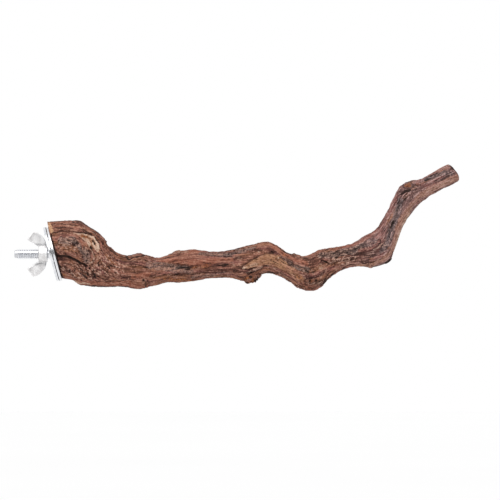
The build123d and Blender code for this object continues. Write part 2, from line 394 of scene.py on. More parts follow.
end_middles = vine_middle(np.array([last_place - 1.0, last_place * 1.0]))
tip_along = (end_middles[1] - end_middles[0]) / np.linalg.norm(end_middles[1] - end_middles[0])
tip_slope = np.arctan2(tip_along[2], tip_along[0]) + tip_lean
tip_out = np.array([cos(tip_slope) * cos(tip_turn), sin(tip_turn), sin(tip_slope) * cos(tip_turn)])
tip_point = end_middles[1] - tip_along * tip_trim


def meets_cut(point, normal, low, high, angle):
    """The place on each line where it crosses a plane, by halving the interval again and again."""
    low, high = np.full_like(angle, low), np.full_like(angle, high)
    for _ in range(halvings):
        half = (low + high) / 2
        beyond = (vine_surface(half, angle) - point) @ normal > 0
        low, high = np.where(beyond, low, half), np.where(beyond, half, high)
    return (low + high) / 2


rows, columns = 690, 138
front_crowding = 0.3
turn = np.linspace(0, 2 * pi, columns, endpoint=False)
angle = turn - front_crowding * np.sin(turn)
start = meets_cut(face_point, face_in, 0.0, 5.0, angle)
stop = meets_cut(tip_point, tip_out, last_place - 3.0, float(last_place), angle)
share = np.linspace(0, 1, rows)[:, None]
place = start + (stop - start) * share
angle = np.broadcast_to(angle, place.shape)
smooth_vine = vine_surface(place, angle)
print("vine grid", smooth_vine.shape, "from", smooth_vine.min((0, 1)), "to", smooth_vine.max((0, 1)))

# %% [markdown]
# ## Noise
# Bark is rough at every size. Gradient noise gives each corner of a lattice a random slope and
# blends the slopes smoothly in between.

# %% Gradient noise
lattice = 32
noise_gain = 1.6


def gradient_noise(points, seed):
    """Noise from about -1 to 1: at each of the eight corners of a cell, the corner's slope times
    the distance from it, blended by the quintic 6t^5 - 15t^4 + 10t^3."""
    slopes = np.random.default_rng(seed).normal(size=(lattice, lattice, lattice, 3))
    slopes /= np.linalg.norm(slopes, axis=-1, keepdims=True)
    cell = np.floor(points).astype(int)
    local = points - cell
    fade = local**3 * (local * (local * 6 - 15) + 10)
    total = np.zeros(points.shape[:-1])
    for corner in np.ndindex(2, 2, 2):
        corner = np.array(corner)
        slope = slopes[tuple(np.moveaxis((cell + corner) % lattice, -1, 0))]
        weight = np.prod(np.where(corner == 1, fade, 1 - fade), axis=-1)
        total += weight * np.sum(slope * (local - corner), axis=-1)
    return total * noise_gain


def rising(value, low, high):
    """A smooth step on whole arrays: 0 below low, 1 above high."""
    t = np.clip((value - low) / (high - low), 0, 1)
    return t * t * (3 - 2 * t)


# %% [markdown]
# ## Along and around
# The vine's own coordinates are the distance along its middle and the place around it, with a slow
# twist, as bark spirals. Noise reads them in place of X, Y and Z, so that the furrows follow every
# bend and close round the back. Two masks fade out what is drawn on the side view before it gets
# round to the back: front is for relief, and facing, which ends a little sooner, is for colour.

# %% Coordinates that run along the vine
bark_twist = 130.0

dense = np.linspace(0, last_place, 800)
steps = np.linalg.norm(np.diff(vine_middle(dense), axis=0), axis=-1)
run = np.interp(place, dense, np.concatenate([[0], np.cumsum(steps)]))
girth = np.linalg.norm(smooth_vine - vine_middle(place), axis=-1)
spin = angle + run / bark_twist
flow = np.stack([run, girth * np.cos(spin), girth * np.sin(spin)], axis=-1)
front = rising(np.cos(angle), -0.4, 0.05)
facing = rising(np.cos(angle), -0.22, 0.05)
print(f"the vine runs {run.max() - run.min():.0f} mm")

# %% [markdown]
# ## What the vine has been through
# The face towards the viewer carries its history: a burl split like an eye, a torn scar, a bare
# patch on the bend, lichen, knots, cracks and worm holes. Each is drawn as a stroke or a dot on
# the side view, in millimetres: x, z and half width. A mark has the finish it shows, how strong
# that is, and how far the wood stands proud of the bark there, or is sunk into it.

# %% [markdown]
# ### The burl
# Bark has closed over the burl like an eyelid. Under the lid lie a domed eye, a torn scar at its
# corner and a deep crack below. The belly under it is worn red, and the bark beside it is rough.

# %% Marks on the burl
burl_strokes = [
    ("under the lid", "dark", 0.9, -0.9, [
        (-0.2, 11.5, 0.4), (6.4, 13.3, 0.3), (10.9, 13.2, 0.3), (15.4, 12.4, 0.5), (19.6, 11.8, 0.4),
        (23.7, 10.1, 0.4), (26.3, 6.4, 0.4), (27.2, 3.2, 0.3),
    ]),
    ("lid", "red", 0.4, 0.0, [
        (0.3, 15.4, 3.1), (7.7, 15.9, 2.7), (15.1, 15.2, 2.6), (21.2, 12.8, 2.6), (26.0, 9.3, 2.2),
        (28.6, 5.4, 1.6),
    ]),
    ("lid furrow", "dark", 0.95, -0.3, [(1.0, 14.6, 0.4), (6.5, 15.2, 0.4), (11.5, 14.6, 0.35)]),
    ("lid furrow", "dark", 0.9, -0.3, [(3.0, 16.9, 0.35), (8.5, 17.1, 0.35), (14.0, 16.2, 0.3)]),
    ("lid furrow", "dark", 0.9, -0.3, [(15.5, 14.2, 0.4), (19.8, 12.6, 0.4), (24.0, 9.9, 0.3)]),
    ("lid furrow", "dark", 0.7, -0.3, [(23.0, 12.4, 0.3), (26.2, 9.2, 0.35), (28.4, 5.4, 0.3)]),
    ("lid furrow", "dark", 0.65, -0.2, [(1.5, 13.2, 0.3), (5.5, 14.0, 0.3)]),
    ("lid ridge", "pale", 0.5, 0.15, [(0.5, 15.9, 0.35), (6.0, 16.3, 0.3), (12.5, 15.5, 0.3)]),
    ("lid ridge", "pale", 0.5, 0.15, [(14.0, 15.6, 0.35), (19.0, 13.8, 0.3), (24.5, 10.8, 0.3)]),
    ("shoulder lip", "red", 0.3, 0.4, [(28.2, 8.6, 0.8), (29.5, 6.9, 0.7)]),
    ("lid top edge", "dark", 0.8, 0, [
        (10.9, 18.7, 0.3), (15.4, 18.3, 0.5), (17.3, 17.0, 0.6), (20.2, 15.6, 0.4), (23.7, 13.3, 0.4),
        (26.3, 11.2, 0.3),
    ]),
    ("torn scar", "tan", 1.0, -0.2, [
        (15.9, 11.1, 0.8), (18.6, 9.8, 1.7), (21.8, 7.4, 2.5), (24.5, 4.5, 2.3), (26.0, 2.2, 1.2),
    ]),
    ("scar upper rim", "pale", 1.0, 0.2, [
        (11.8, 11.2, 0.3), (14.0, 11.1, 0.35), (16.4, 11.5, 0.5), (18.6, 11.0, 0.5), (20.4, 10.4, 0.5),
        (22.5, 9.6, 0.6), (24.2, 8.2, 0.7), (25.4, 5.8, 0.8), (26.2, 3.4, 0.9), (25.6, 2.0, 0.8),
    ]),
    ("scar lower rim", "pale", 0.95, 0.1, [
        (17.2, 9.1, 0.6), (18.9, 8.3, 0.9), (20.2, 6.9, 1.0), (21.0, 5.2, 0.8),
    ]),
    ("scar lobe", "pale", 0.9, 0, [(22.9, 6.0, 0.7), (23.6, 4.2, 0.9), (24.6, 2.8, 0.9)]),
    ("scar streak", "orange", 0.9, -0.2, [(16.3, 10.2, 0.35), (18.2, 9.9, 0.5), (20.0, 9.6, 0.5)]),
    ("scar pit", "dark", 1.0, -0.5, [(22.9, 7.6, 0.5), (23.9, 5.9, 0.5)]),
    ("scar slot", "dark", 0.85, -0.4, [(21.9, 4.2, 0.4), (22.4, 2.9, 0.5)]),
    ("burl crack", "dark", 1.0, -0.9, [
        (3.3, -1.3, 0.6), (6.7, -1.3, 0.6), (9.6, -2.2, 0.7), (12.5, -3.6, 0.8), (15.7, -5.1, 0.7),
        (18.6, -6.3, 0.6), (19.7, -6.9, 0.4),
    ]),
    # Painted shadow: the bark just under the crack is darkened, over a shallow dip.
    ("under the crack", "dark", 0.58, -0.6, [(3.9, -2.6, 1.3), (7.3, -2.9, 1.1), (10.2, -3.6, 0.8)]),
    ("dome rim", "pale", 0.65, 0.3, [
        (21.4, 3.4, 0.3), (22.9, 0.2, 0.35), (23.5, -2.6, 0.35), (22.1, -4.5, 0.35), (20.4, -6.3, 0.3),
    ]),
    ("dome groove", "dark", 0.5, -0.4, [
        (22.4, 2.9, 0.4), (24.1, -0.2, 0.6), (24.7, -2.8, 0.5), (23.3, -5.4, 0.4), (21.3, -7.6, 0.4),
    ]),
    ("dome grey", "grey", 0.9, 0, [
        (5.0, 7.5, 2.0), (12.5, 8.0, 2.0), (14.5, 5.5, 1.6), (19.2, 0.0, 2.2), (19.5, -4.0, 1.8),
    ]),
    ("dome graze", "red", 0.9, 0, [(15.9, 7.7, 0.7), (16.8, 5.1, 0.8), (17.0, 3.2, 0.5)]),
    ("dome stain", "dark", 0.55, 0, [(16.9, 1.6, 1.1), (17.9, -0.4, 1.2)]),
    # Painted shadow: a black line along the sawn edge, in the gap next to the washers.
    ("sawn edge", "dark", 1.0, 0, [
        (-0.8, 10.9, 0.55), (0.6, 5.4, 0.65), (2.25, -1.0, 0.75), (3.95, -7.7, 0.75), (5.3, -13.0, 0.65),
    ]),
    ("sawn sliver", "cut", 1.0, -0.3, [(-2.0, 17.2, 0.7), (-1.2, 15.1, 1.1), (-0.2, 12.5, 0.9)]),
    ("belly strip", "red", 1.0, 0.2, [
        (8.3, -12.9, 1.3), (12.2, -15.0, 1.4), (16.0, -16.4, 1.4), (21.8, -16.7, 1.5), (29.8, -16.7, 1.4),
        (37.9, -16.4, 1.4), (43.3, -16.2, 1.4),
    ]),
    # Painted shade: the belly's lower edge is darkened.
    ("belly edge", "dark", 0.85, 0, [
        (12.0, -16.2, 0.4), (16.5, -17.6, 0.5), (22.0, -18.0, 0.6), (31.4, -18.2, 0.6), (43.0, -18.1, 0.5),
    ]),
    # Partly pale worn bark and partly a painted highlight along the belly's lower side.
    ("belly ridge", "pale", 0.7, 0.15, [(11.0, -14.3, 0.5), (15.0, -16.0, 0.6), (21.0, -16.6, 0.4)]),
    ("belly ridge", "pale", 0.4, 0.15, [(24.0, -16.4, 0.3), (31.0, -16.4, 0.45), (42.0, -16.0, 0.4)]),
    ("belly furrow", "dark", 0.7, -0.2, [(24.0, -15.3, 0.25), (32.0, -15.4, 0.3), (41.0, -14.9, 0.25)]),
    ("rough bark", "grain", 1.0, 0, [
        (6.5, -8.0, 3.4), (12.2, -9.3, 3.9), (20.2, -10.3, 4.5), (26.6, -6.1, 5.5), (33.0, -6.1, 5.0),
        (37.5, -8.3, 3.6),
    ]),
    ("dome shade", "dark", 0.38, 0, [(5.0, 5.5, 4.0), (12.0, 4.5, 4.6), (18.5, 1.0, 4.0)]),
    ("rough dome", "grain", 0.65, 0, [(5.0, 5.5, 4.0), (12.0, 4.5, 4.6), (18.5, 1.0, 4.0)]),
    ("rough pits", "dark", 0.9, -0.5, [(16.0, -11.3, 0.5), (18.6, -12.9, 0.6)]),
    ("rough pits", "dark", 0.9, -0.5, [(23.4, -11.7, 0.6), (24.5, -14.0, 0.6)]),
    ("rough pits", "dark", 0.8, -0.4, [(20.5, -7.6, 0.35), (21.4, -8.4, 0.4)]),
    ("shoulder edge", "dark", 0.8, -0.3, [(30.8, 3.8, 0.4), (33.0, 1.8, 0.6), (36.6, -0.7, 0.6)]),
    ("shoulder notch", "dark", 0.45, -0.8, [(30.8, 5.6, 0.8), (31.8, 4.4, 0.7)]),
    ("shoulder", "red", 0.5, 0, [(30.2, 4.5, 1.1), (34.0, 0.6, 1.1), (37.9, -1.3, 1.0)]),
    ("rosy bark", "pale", 0.22, 0, [(31.4, -4.5, 1.9), (37.9, -7.7, 1.9), (43.0, -3.9, 1.9)]),
]
burl_dots = [
    ("scar pit", "dark", 1.0, -0.4, [(21.2, 8.9, 0.45)]),
    ("dome fleck", "pale", 0.34, 0, [(8.2, 5.6, 1.8)]),
    ("dome wash", "tan", 0.3, 0, [(5.3, 2.2, 2.3), (9.5, 2.6, 2.3)]),
    ("sawn sliver end", "dark", 0.9, -0.2, [(0.4, 11.5, 0.5)]),
    ("deep pits", "dark", 0.95, -0.5, [
        (9.6, -9.0, 0.6), (12.6, -9.4, 0.5), (15.7, -10.9, 0.5), (18.6, -12.7, 0.6), (20.0, -11.3, 0.5),
        (23.6, -12.0, 0.7),
    ]),
    ("shallow pits", "dark", 0.85, -0.4, [
        (22.9, -9.5, 0.5), (23.6, -0.2, 0.5), (26.2, -6.4, 0.5), (28.0, -12.2, 0.5), (28.2, -3.5, 0.4),
        (29.6, -2.7, 0.4), (31.0, -9.0, 0.4), (34.2, -6.0, 0.4), (35.6, -10.6, 0.5),
    ]),
    ("rust spot", "orange", 0.45, 0, [(23.6, -10.3, 0.8)]),
    ("rust spot", "orange", 0.6, 0, [(6.7, -11.6, 1.0)]),
    ("rust spot", "tan", 0.6, 0, [(14.1, -15.4, 1.0)]),
]
print(len(burl_strokes), "strokes and", len(burl_dots), "groups of dots")

# %% [markdown]
# ### The trunk
# Behind the burl the bark is stringy: red where it is worn, grey where it isn't, with furrows
# along the grain, a low bump on top and a worm hole below.

# %% Marks on the trunk
trunk_strokes = [
    ("dark clump", "dark", 0.62, -0.3, [(38.6, -1.5, 1.3), (40.3, -2.9, 1.8), (41.7, -1.8, 1.0)]),
    ("low bump lid", "grey", 0.6, 0.4, [(44.5, -1.1, 0.7), (48.5, -0.3, 0.6)]),
    ("low bump edge", "dark", 1.0, -0.4, [
        (42.2, -2.8, 0.45), (46.4, -1.75, 0.4), (49.7, -1.0, 0.45), (51.6, -0.5, 0.5),
    ]),
    ("slanting streak", "pale", 0.3, 0.2, [
        (39.4, -9.1, 1.0), (42.6, -5.1, 1.0), (46.6, -2.9, 1.0), (51.9, -1.8, 0.9),
    ]),
    ("rusty bark", "orange", 0.25, 0, [(45.7, -13.1, 2.0), (49.7, -12.7, 2.2), (54.2, -11.1, 1.8)]),
    ("knot swelling", "red", 0.75, 0.1, [(45.2, -12.8, 1.4), (49.8, -12.0, 1.5), (54.0, -11.3, 1.1)]),
    ("worm hole fold", "dark", 0.8, -0.4, [(51.8, -15.1, 0.4), (52.4, -16.7, 0.4), (52.2, -18.3, 0.4)]),
    ("belly strip", "red", 0.8, 0.2, [
        (37.7, -16.3, 1.3), (43.0, -16.7, 1.3), (47.5, -18.0, 1.2), (52.4, -18.0, 1.1),
    ]),
    ("grey bark", "grey", 0.8, 0, [
        (54.6, -6.4, 2.7), (60.9, -6.9, 2.7), (68.9, -8.2, 2.7), (76.9, -9.1, 2.2),
    ]),
    ("dark patch", "dark", 0.55, -0.2, [(69.6, -8.0, 1.2), (72.5, -7.9, 1.5), (76.0, -8.4, 1.2)]),
    ("upper red streak", "red", 0.85, 0.2, [
        (60.0, -4.0, 0.9), (66.2, -3.6, 1.2), (73.3, -4.2, 1.7), (82.3, -4.6, 2.0), (88.0, -4.2, 1.8),
        (94.0, -3.4, 1.3), (100.1, -3.1, 1.2),
    ]),
    ("lower red streak", "orange", 0.5, 0.2, [(75.6, -8.4, 1.0), (80.0, -7.8, 1.0), (88.1, -6.2, 0.8)]),
    ("top grey band", "grey", 0.8, 0, [
        (82.3, 0.0, 1.0), (91.2, -0.2, 1.1), (100.1, -0.2, 1.1), (104.6, 1.6, 1.1),
    ]),
    ("top flake", "red", 0.8, 0.3, [(76.9, 1.4, 0.7), (79.6, 1.6, 0.8), (82.3, 1.1, 0.5)]),
    ("top sliver", "pale", 0.4, 0.7, [(67.8, 0.5, 0.5), (69.5, 1.0, 0.6), (71.0, 1.4, 0.4)]),
    ("top bump", "pale", 0.35, 0.3, [(65.3, -0.6, 0.6), (69.8, 0.7, 0.7), (76.0, 0.9, 0.7)]),
    ("belly rust", "orange", 0.6, 0, [(62.6, -14.1, 1.0), (68.9, -14.5, 1.0), (76.9, -14.8, 0.9)]),
    ("belly grey", "grey", 0.6, 0, [(77.8, -12.7, 1.1), (89.0, -11.6, 1.1), (99.2, -10.9, 1.1)]),
    ("dark streak", "dark", 0.58, -0.3, [(88.1, -6.9, 0.7), (91.6, -6.2, 1.0), (97.0, -6.0, 1.2)]),
    ("furrow", "dark", 0.5, -0.35, [
        (57.7, -10.9, 0.4), (66.2, -11.3, 0.4), (77.8, -10.9, 0.4), (91.2, -10.5, 0.4),
    ]),
    ("furrow", "dark", 0.45, -0.3, [(59.1, -6.0, 0.3), (68.9, -5.5, 0.3), (76.0, -6.0, 0.3)]),
    ("furrow", "dark", 0.45, -0.3, [(80.5, -9.1, 0.3), (89.0, -8.7, 0.4), (100.1, -9.1, 0.3)]),
]
trunk_dots = [
    ("shoulder edge", "dark", 0.9, -0.3, [(41.4, -1.3, 0.8)]),
    ("notch", "dark", 1.0, -0.7, [(42.0, -2.2, 0.6)]),
    ("worm hole rim", "pale", 0.5, 0.3, [(50.9, -14.8, 1.5)]),
    ("worm hole", "dark", 1.0, -1.3, [(50.9, -14.8, 0.8)]),
]
print(len(trunk_strokes), "strokes and", len(trunk_dots), "groups of dots")

# %% [markdown]
# ### The bend
# The bend has lost its bark. A red ridge and lichen lie above the bare patch and furrows below
# it, and a knobbly bulge with pits and rust ends it.

# %% Marks on the bend
bend_strokes = [
    ("rosy bark", "pale", 0.3, 0, [(101.0, -6.0, 2.7), (105.5, -5.5, 2.7)]),
    ("bare patch", "tan", 1.0, -0.5, [
        (107.6, -7.6, 0.7), (111.7, -5.9, 1.8), (115.5, -4.0, 2.7), (120.0, -2.9, 3.2), (124.5, -3.3, 3.2),
        (128.7, -5.9, 2.7),
    ]),
    ("bare patch foot", "tan", 0.58, -0.4, [
        (128.7, -5.9, 2.7), (132.9, -8.8, 2.6), (136.7, -11.7, 2.4), (139.8, -13.9, 1.6),
    ]),
    ("bare patch tip", "pale", 0.5, 0, [(107.5, -7.9, 0.5), (110.4, -6.9, 0.8), (114.2, -5.6, 1.3)]),
    ("bare patch edge", "dark", 0.62, -0.8, [
        (106.2, -6.7, 0.5), (109.4, -4.8, 0.6), (112.6, -2.5, 0.6), (115.8, -0.4, 0.6), (120.0, 0.4, 0.7),
        (123.2, 0.8, 0.8),
    ]),
    ("hollow", "dark", 0.42, -0.3, [(121.0, 1.0, 1.3), (123.2, 1.3, 1.1)]),
    ("lichen", "grey", 0.95, 0, [
        (128.4, -2.0, 1.4), (131.6, -3.7, 1.4), (134.1, -6.2, 1.3), (137.4, -7.5, 1.4), (142.2, -8.8, 1.9),
    ]),
    ("lichen dark", "dark", 0.45, 0, [
        (128.7, -2.0, 1.0), (131.6, -3.3, 1.0), (134.1, -5.9, 0.8), (137.4, -7.2, 0.8), (142.5, -8.8, 1.3),
    ]),
    ("red ridge", "red", 0.9, 0.3, [
        (122.6, 4.5, 1.0), (125.8, 2.8, 1.1), (129.6, -0.6, 1.2), (133.5, -2.0, 1.2), (137.4, -4.0, 1.1),
        (142.2, -5.4, 1.1),
    ]),
    ("saddle ridge", "grey", 0.3, 0.6, [(134.8, -0.2, 0.7), (136.5, -0.5, 0.8), (138.2, -0.7, 0.6)]),
    ("saddle", "pale", 0.35, 0, [(135.7, -1.1, 0.6), (140.6, -1.7, 0.8), (144.7, -2.0, 1.0)]),
    ("hump edge", "dark", 0.8, 0, [
        (122.6, 6.0, 0.3), (125.1, 4.7, 0.4), (127.4, 2.9, 0.4), (130.9, 1.0, 0.3), (134.8, -0.3, 0.3),
    ]),
    ("rosy bark", "pale", 0.25, 0, [(103.0, -0.1, 1.6), (103.9, -5.9, 1.6)]),
    ("pale fleck", "pale", 0.4, 0, [(103.9, -2.0, 0.6), (106.0, -2.5, 0.5)]),
    ("top grey band", "grey", 0.9, 0, [
        (103.0, 2.1, 0.8), (106.2, 1.8, 1.0), (110.4, 2.8, 0.8), (113.6, 4.1, 0.6),
    ]),
    ("pale strip", "pale", 0.5, 0.3, [(108.8, -10.4, 0.6), (112.6, -8.8, 0.6), (117.1, -7.3, 0.7)]),
    ("furrow", "dark", 0.7, -0.4, [(107.5, -9.0, 0.3), (111.0, -8.5, 0.3), (114.2, -7.7, 0.3)]),
    ("furrow", "dark", 0.7, -0.5, [
        (109.7, -11.0, 0.3), (113.3, -9.8, 0.3), (116.5, -8.5, 0.3), (120.0, -7.2, 0.4),
    ]),
    ("pale strip", "pale", 0.35, 0.3, [
        (120.6, -6.9, 0.6), (125.1, -8.5, 0.6), (129.0, -11.4, 0.6), (134.1, -15.5, 0.6),
    ]),
    ("furrow", "dark", 0.7, -0.5, [
        (121.3, -8.5, 0.3), (125.8, -9.8, 0.3), (130.0, -12.6, 0.3), (134.1, -16.2, 0.3),
        (138.0, -18.8, 0.3),
    ]),
    ("furrow", "dark", 0.5, -0.3, [
        (122.6, -7.2, 0.3), (127.7, -9.8, 0.3), (131.9, -13.0, 0.3), (136.7, -16.2, 0.3),
    ]),
    ("bend underside", "dark", 0.8, 0, [
        (116.1, -12.3, 0.5), (118.4, -10.9, 0.5), (121.9, -10.2, 0.4), (125.8, -10.7, 0.4),
    ]),
    ("rust patch", "orange", 0.5, 0, [(137.4, -12.6, 1.4), (139.6, -13.3, 1.3)]),
    ("bulge pit", "dark", 0.9, -0.5, [(143.5, -10.1, 0.6), (141.5, -9.1, 0.6)]),
    ("bulge fold", "dark", 0.6, -0.4, [
        (140.7, -14.9, 0.3), (141.5, -17.1, 0.3), (143.5, -19.1, 0.3), (146.3, -19.6, 0.3),
    ]),
    ("bulge lip", "red", 0.7, 0.2, [
        (139.9, -14.6, 0.4), (140.6, -17.5, 0.4), (142.8, -19.6, 0.4), (146.0, -20.4, 0.4),
        (148.3, -19.1, 0.4),
    ]),
    ("bulge shade", "dark", 0.44, 0, [(142.5, -11.0, 4.5), (146.5, -14.5, 4.5)]),
    ("rough bulge", "grain", 0.6, 0, [(142.2, -10.4, 3.0), (145.4, -13.6, 4.0), (148.6, -15.2, 3.5)]),
]
bend_dots = [
    ("rust spot", "orange", 0.45, 0, [(129.6, -0.4, 0.7)]),
    ("pale fleck", "pale", 0.9, 0.2, [(106.9, -8.0, 0.7)]),
    ("bare fleck", "pale", 0.8, 0.1, [(126.2, -2.2, 0.6)]),
    ("bare fleck", "pale", 0.6, 0.1, [(120.5, -6.3, 0.5)]),
    ("bare fleck", "pale", 0.5, 0.1, [(129.3, -5.7, 0.4)]),
    ("pale fleck", "pale", 0.7, 0, [(115.5, 1.0, 0.6)]),
    ("bulge rust", "orange", 0.9, 0, [(144.7, -15.2, 0.8)]),
    ("bulge pit", "dark", 0.95, -0.7, [(147.4, -14.7, 0.7), (144.0, -15.3, 0.8)]),
    ("bulge pit", "dark", 0.8, -0.5, [(144.7, -13.6, 0.5), (145.7, -10.1, 0.6)]),
    ("bulge fleck", "pale", 0.4, 0, [(148.6, -16.2, 1.3)]),
    ("olive spot", "pale", 0.3, 0, [(148.1, -0.4, 1.4)]),
]
print(len(bend_strokes), "strokes and", len(bend_dots), "groups of dots")

# %% [markdown]
# ### The elbow
# Lichen covers the climb to the elbow, over a rough dark underside. The outer edge is worn tan.

# %% Marks on the elbow
elbow_strokes = [
    ("rosy patch", "pale", 0.42, 0.1, [(150.0, -6.8, 1.6), (150.6, -9.0, 1.8), (151.4, -11.0, 1.5)]),
    ("lichen", "grey", 1.0, 0, [
        (150.1, -1.0, 1.7), (155.2, -0.6, 2.0), (160.9, 0.7, 2.0), (167.7, 1.8, 2.2), (174.5, 4.8, 2.2),
        (179.9, 7.5, 1.7),
    ]),
    ("lichen dark", "dark", 0.6, 0, [
        (150.8, -1.0, 1.2), (155.2, -0.6, 1.4), (160.9, 0.7, 1.4), (167.7, 1.8, 1.5), (174.5, 4.8, 1.5),
    ]),
    ("underside shade", "dark", 0.4, 0, [(153.5, -5.5, 2.0), (160.0, -3.5, 2.2), (168.0, -2.0, 1.8)]),
    ("rough underside", "grain", 0.95, 0, [(155.5, -4.4, 2.0), (162.5, -3.8, 2.2), (168.5, -2.6, 1.8)]),
    ("elbow furrow", "dark", 0.62, -0.25, [(175.5, 1.3, 0.35), (180.8, 3.3, 0.4), (185.4, 7.4, 0.4)]),
    ("elbow furrow", "dark", 0.6, -0.25, [(177.5, -0.8, 0.35), (183.4, 0.6, 0.4), (187.5, 4.4, 0.4)]),
    ("elbow furrow", "dark", 0.5, -0.2, [(180.0, 7.6, 0.3), (183.6, 10.4, 0.4), (186.0, 14.6, 0.3)]),
    ("rough lichen", "grain", 0.65, 0, [
        (150.1, -1.0, 2.4), (160.9, 0.4, 2.7), (174.5, 3.8, 3.1), (184.7, 5.8, 3.1),
    ]),
    ("red edge", "red", 0.8, 0.2, [
        (155.9, 2.4, 0.5), (163.0, 4.1, 0.7), (169.8, 5.5, 0.9), (174.5, 7.9, 0.9), (178.9, 10.9, 1.0),
        (182.0, 14.0, 1.0),
    ]),
    ("red band", "red", 0.75, 0.1, [(171.5, 2.0, 0.9), (175.5, 2.9, 1.2), (178.5, 3.2, 0.9)]),
    ("split", "dark", 1.0, -0.6, [(150.6, -3.7, 0.4), (152.3, -4.5, 0.5), (154.2, -5.2, 0.35)]),
    ("pale strip", "pale", 0.36, 0.2, [(158.2, -8.2, 1.0), (161.6, -6.5, 1.2), (165.0, -5.2, 0.9)]),
    ("burnt edge", "dark", 0.9, 0, [(162.5, -8.2, 0.6), (164.0, -7.4, 0.4)]),
    ("burnt edge", "dark", 0.9, -0.2, [(156.2, -12.0, 0.6), (158.2, -9.9, 0.5)]),
    ("burnt edge", "dark", 0.9, -0.2, [(150.1, -17.9, 0.5), (153.5, -14.7, 0.5)]),
    ("lichen bloom", "pale", 0.35, 0, [(169.3, -2.0, 0.7), (169.1, -3.7, 0.7)]),
    ("dark hollow", "dark", 0.6, -0.3, [(170.4, -0.3, 1.4), (173.8, 0.6, 1.2)]),
    ("elbow shade", "dark", 0.42, 0, [(175.0, 0.5, 3.0), (181.5, 4.0, 3.6), (186.0, 9.0, 2.6)]),
    ("pale slash", "pale", 0.6, 0.2, [(179.3, 2.2, 0.35), (181.6, 3.5, 0.4), (183.8, 5.3, 0.35)]),
    ("slash shade", "dark", 0.62, -0.4, [(180.6, 0.7, 0.9), (183.7, 2.4, 1.0)]),
    ("tan edge", "tan", 0.8, 0.1, [
        (170.4, -6.0, 0.6), (174.5, -5.9, 0.8), (178.2, -6.4, 1.0), (182.3, -4.3, 1.2), (185.7, -2.5, 1.2),
        (189.1, 1.1, 1.2), (191.5, 5.8, 1.2), (193.2, 9.9, 1.2), (194.9, 14.0, 1.2),
    ]),
    ("elbow red", "red", 0.8, 0, [(177.9, -3.7, 0.9), (182.3, -1.6, 1.0), (184.7, -0.3, 0.9)]),
    ("black flake", "dark", 1.0, 0.5, [(186.4, -4.7, 0.7), (188.1, -3.8, 0.9), (189.3, -2.8, 0.7)]),
    ("steep grey", "grey", 0.9, 0, [
        (184.0, 1.8, 1.4), (187.1, 5.2, 1.7), (188.8, 9.2, 1.7), (189.1, 13.3, 1.7),
    ]),
    ("bulge blush", "pale", 0.35, 0, [(150.4, -7.4, 1.4), (152.8, -9.1, 1.4)]),
    ("steep red", "red", 0.65, 0, [
        (182.8, 11.1, 1.3), (186.0, 18.6, 1.4), (189.0, 25.4, 1.3), (192.0, 31.4, 1.1),
    ]),
]
elbow_dots = [
    ("lichen bloom", "pale", 0.4, 0, [(166.2, -2.3, 0.9)]),
    ("elbow bump", "grey", 0.5, 0.5, [(177.9, -7.2, 0.9)]),
    ("steep blush", "red", 0.6, 0, [(184.0, 10.9, 2.0)]),
]
print(len(elbow_strokes), "strokes and", len(elbow_dots), "groups of dots")

# %% [markdown]
# ### The crook and the tip
# The steep stretch is grey in the middle and tan on its outer side. A knot with a rusty heart
# sits in the crook, and young, smoother bark runs on to the tip.

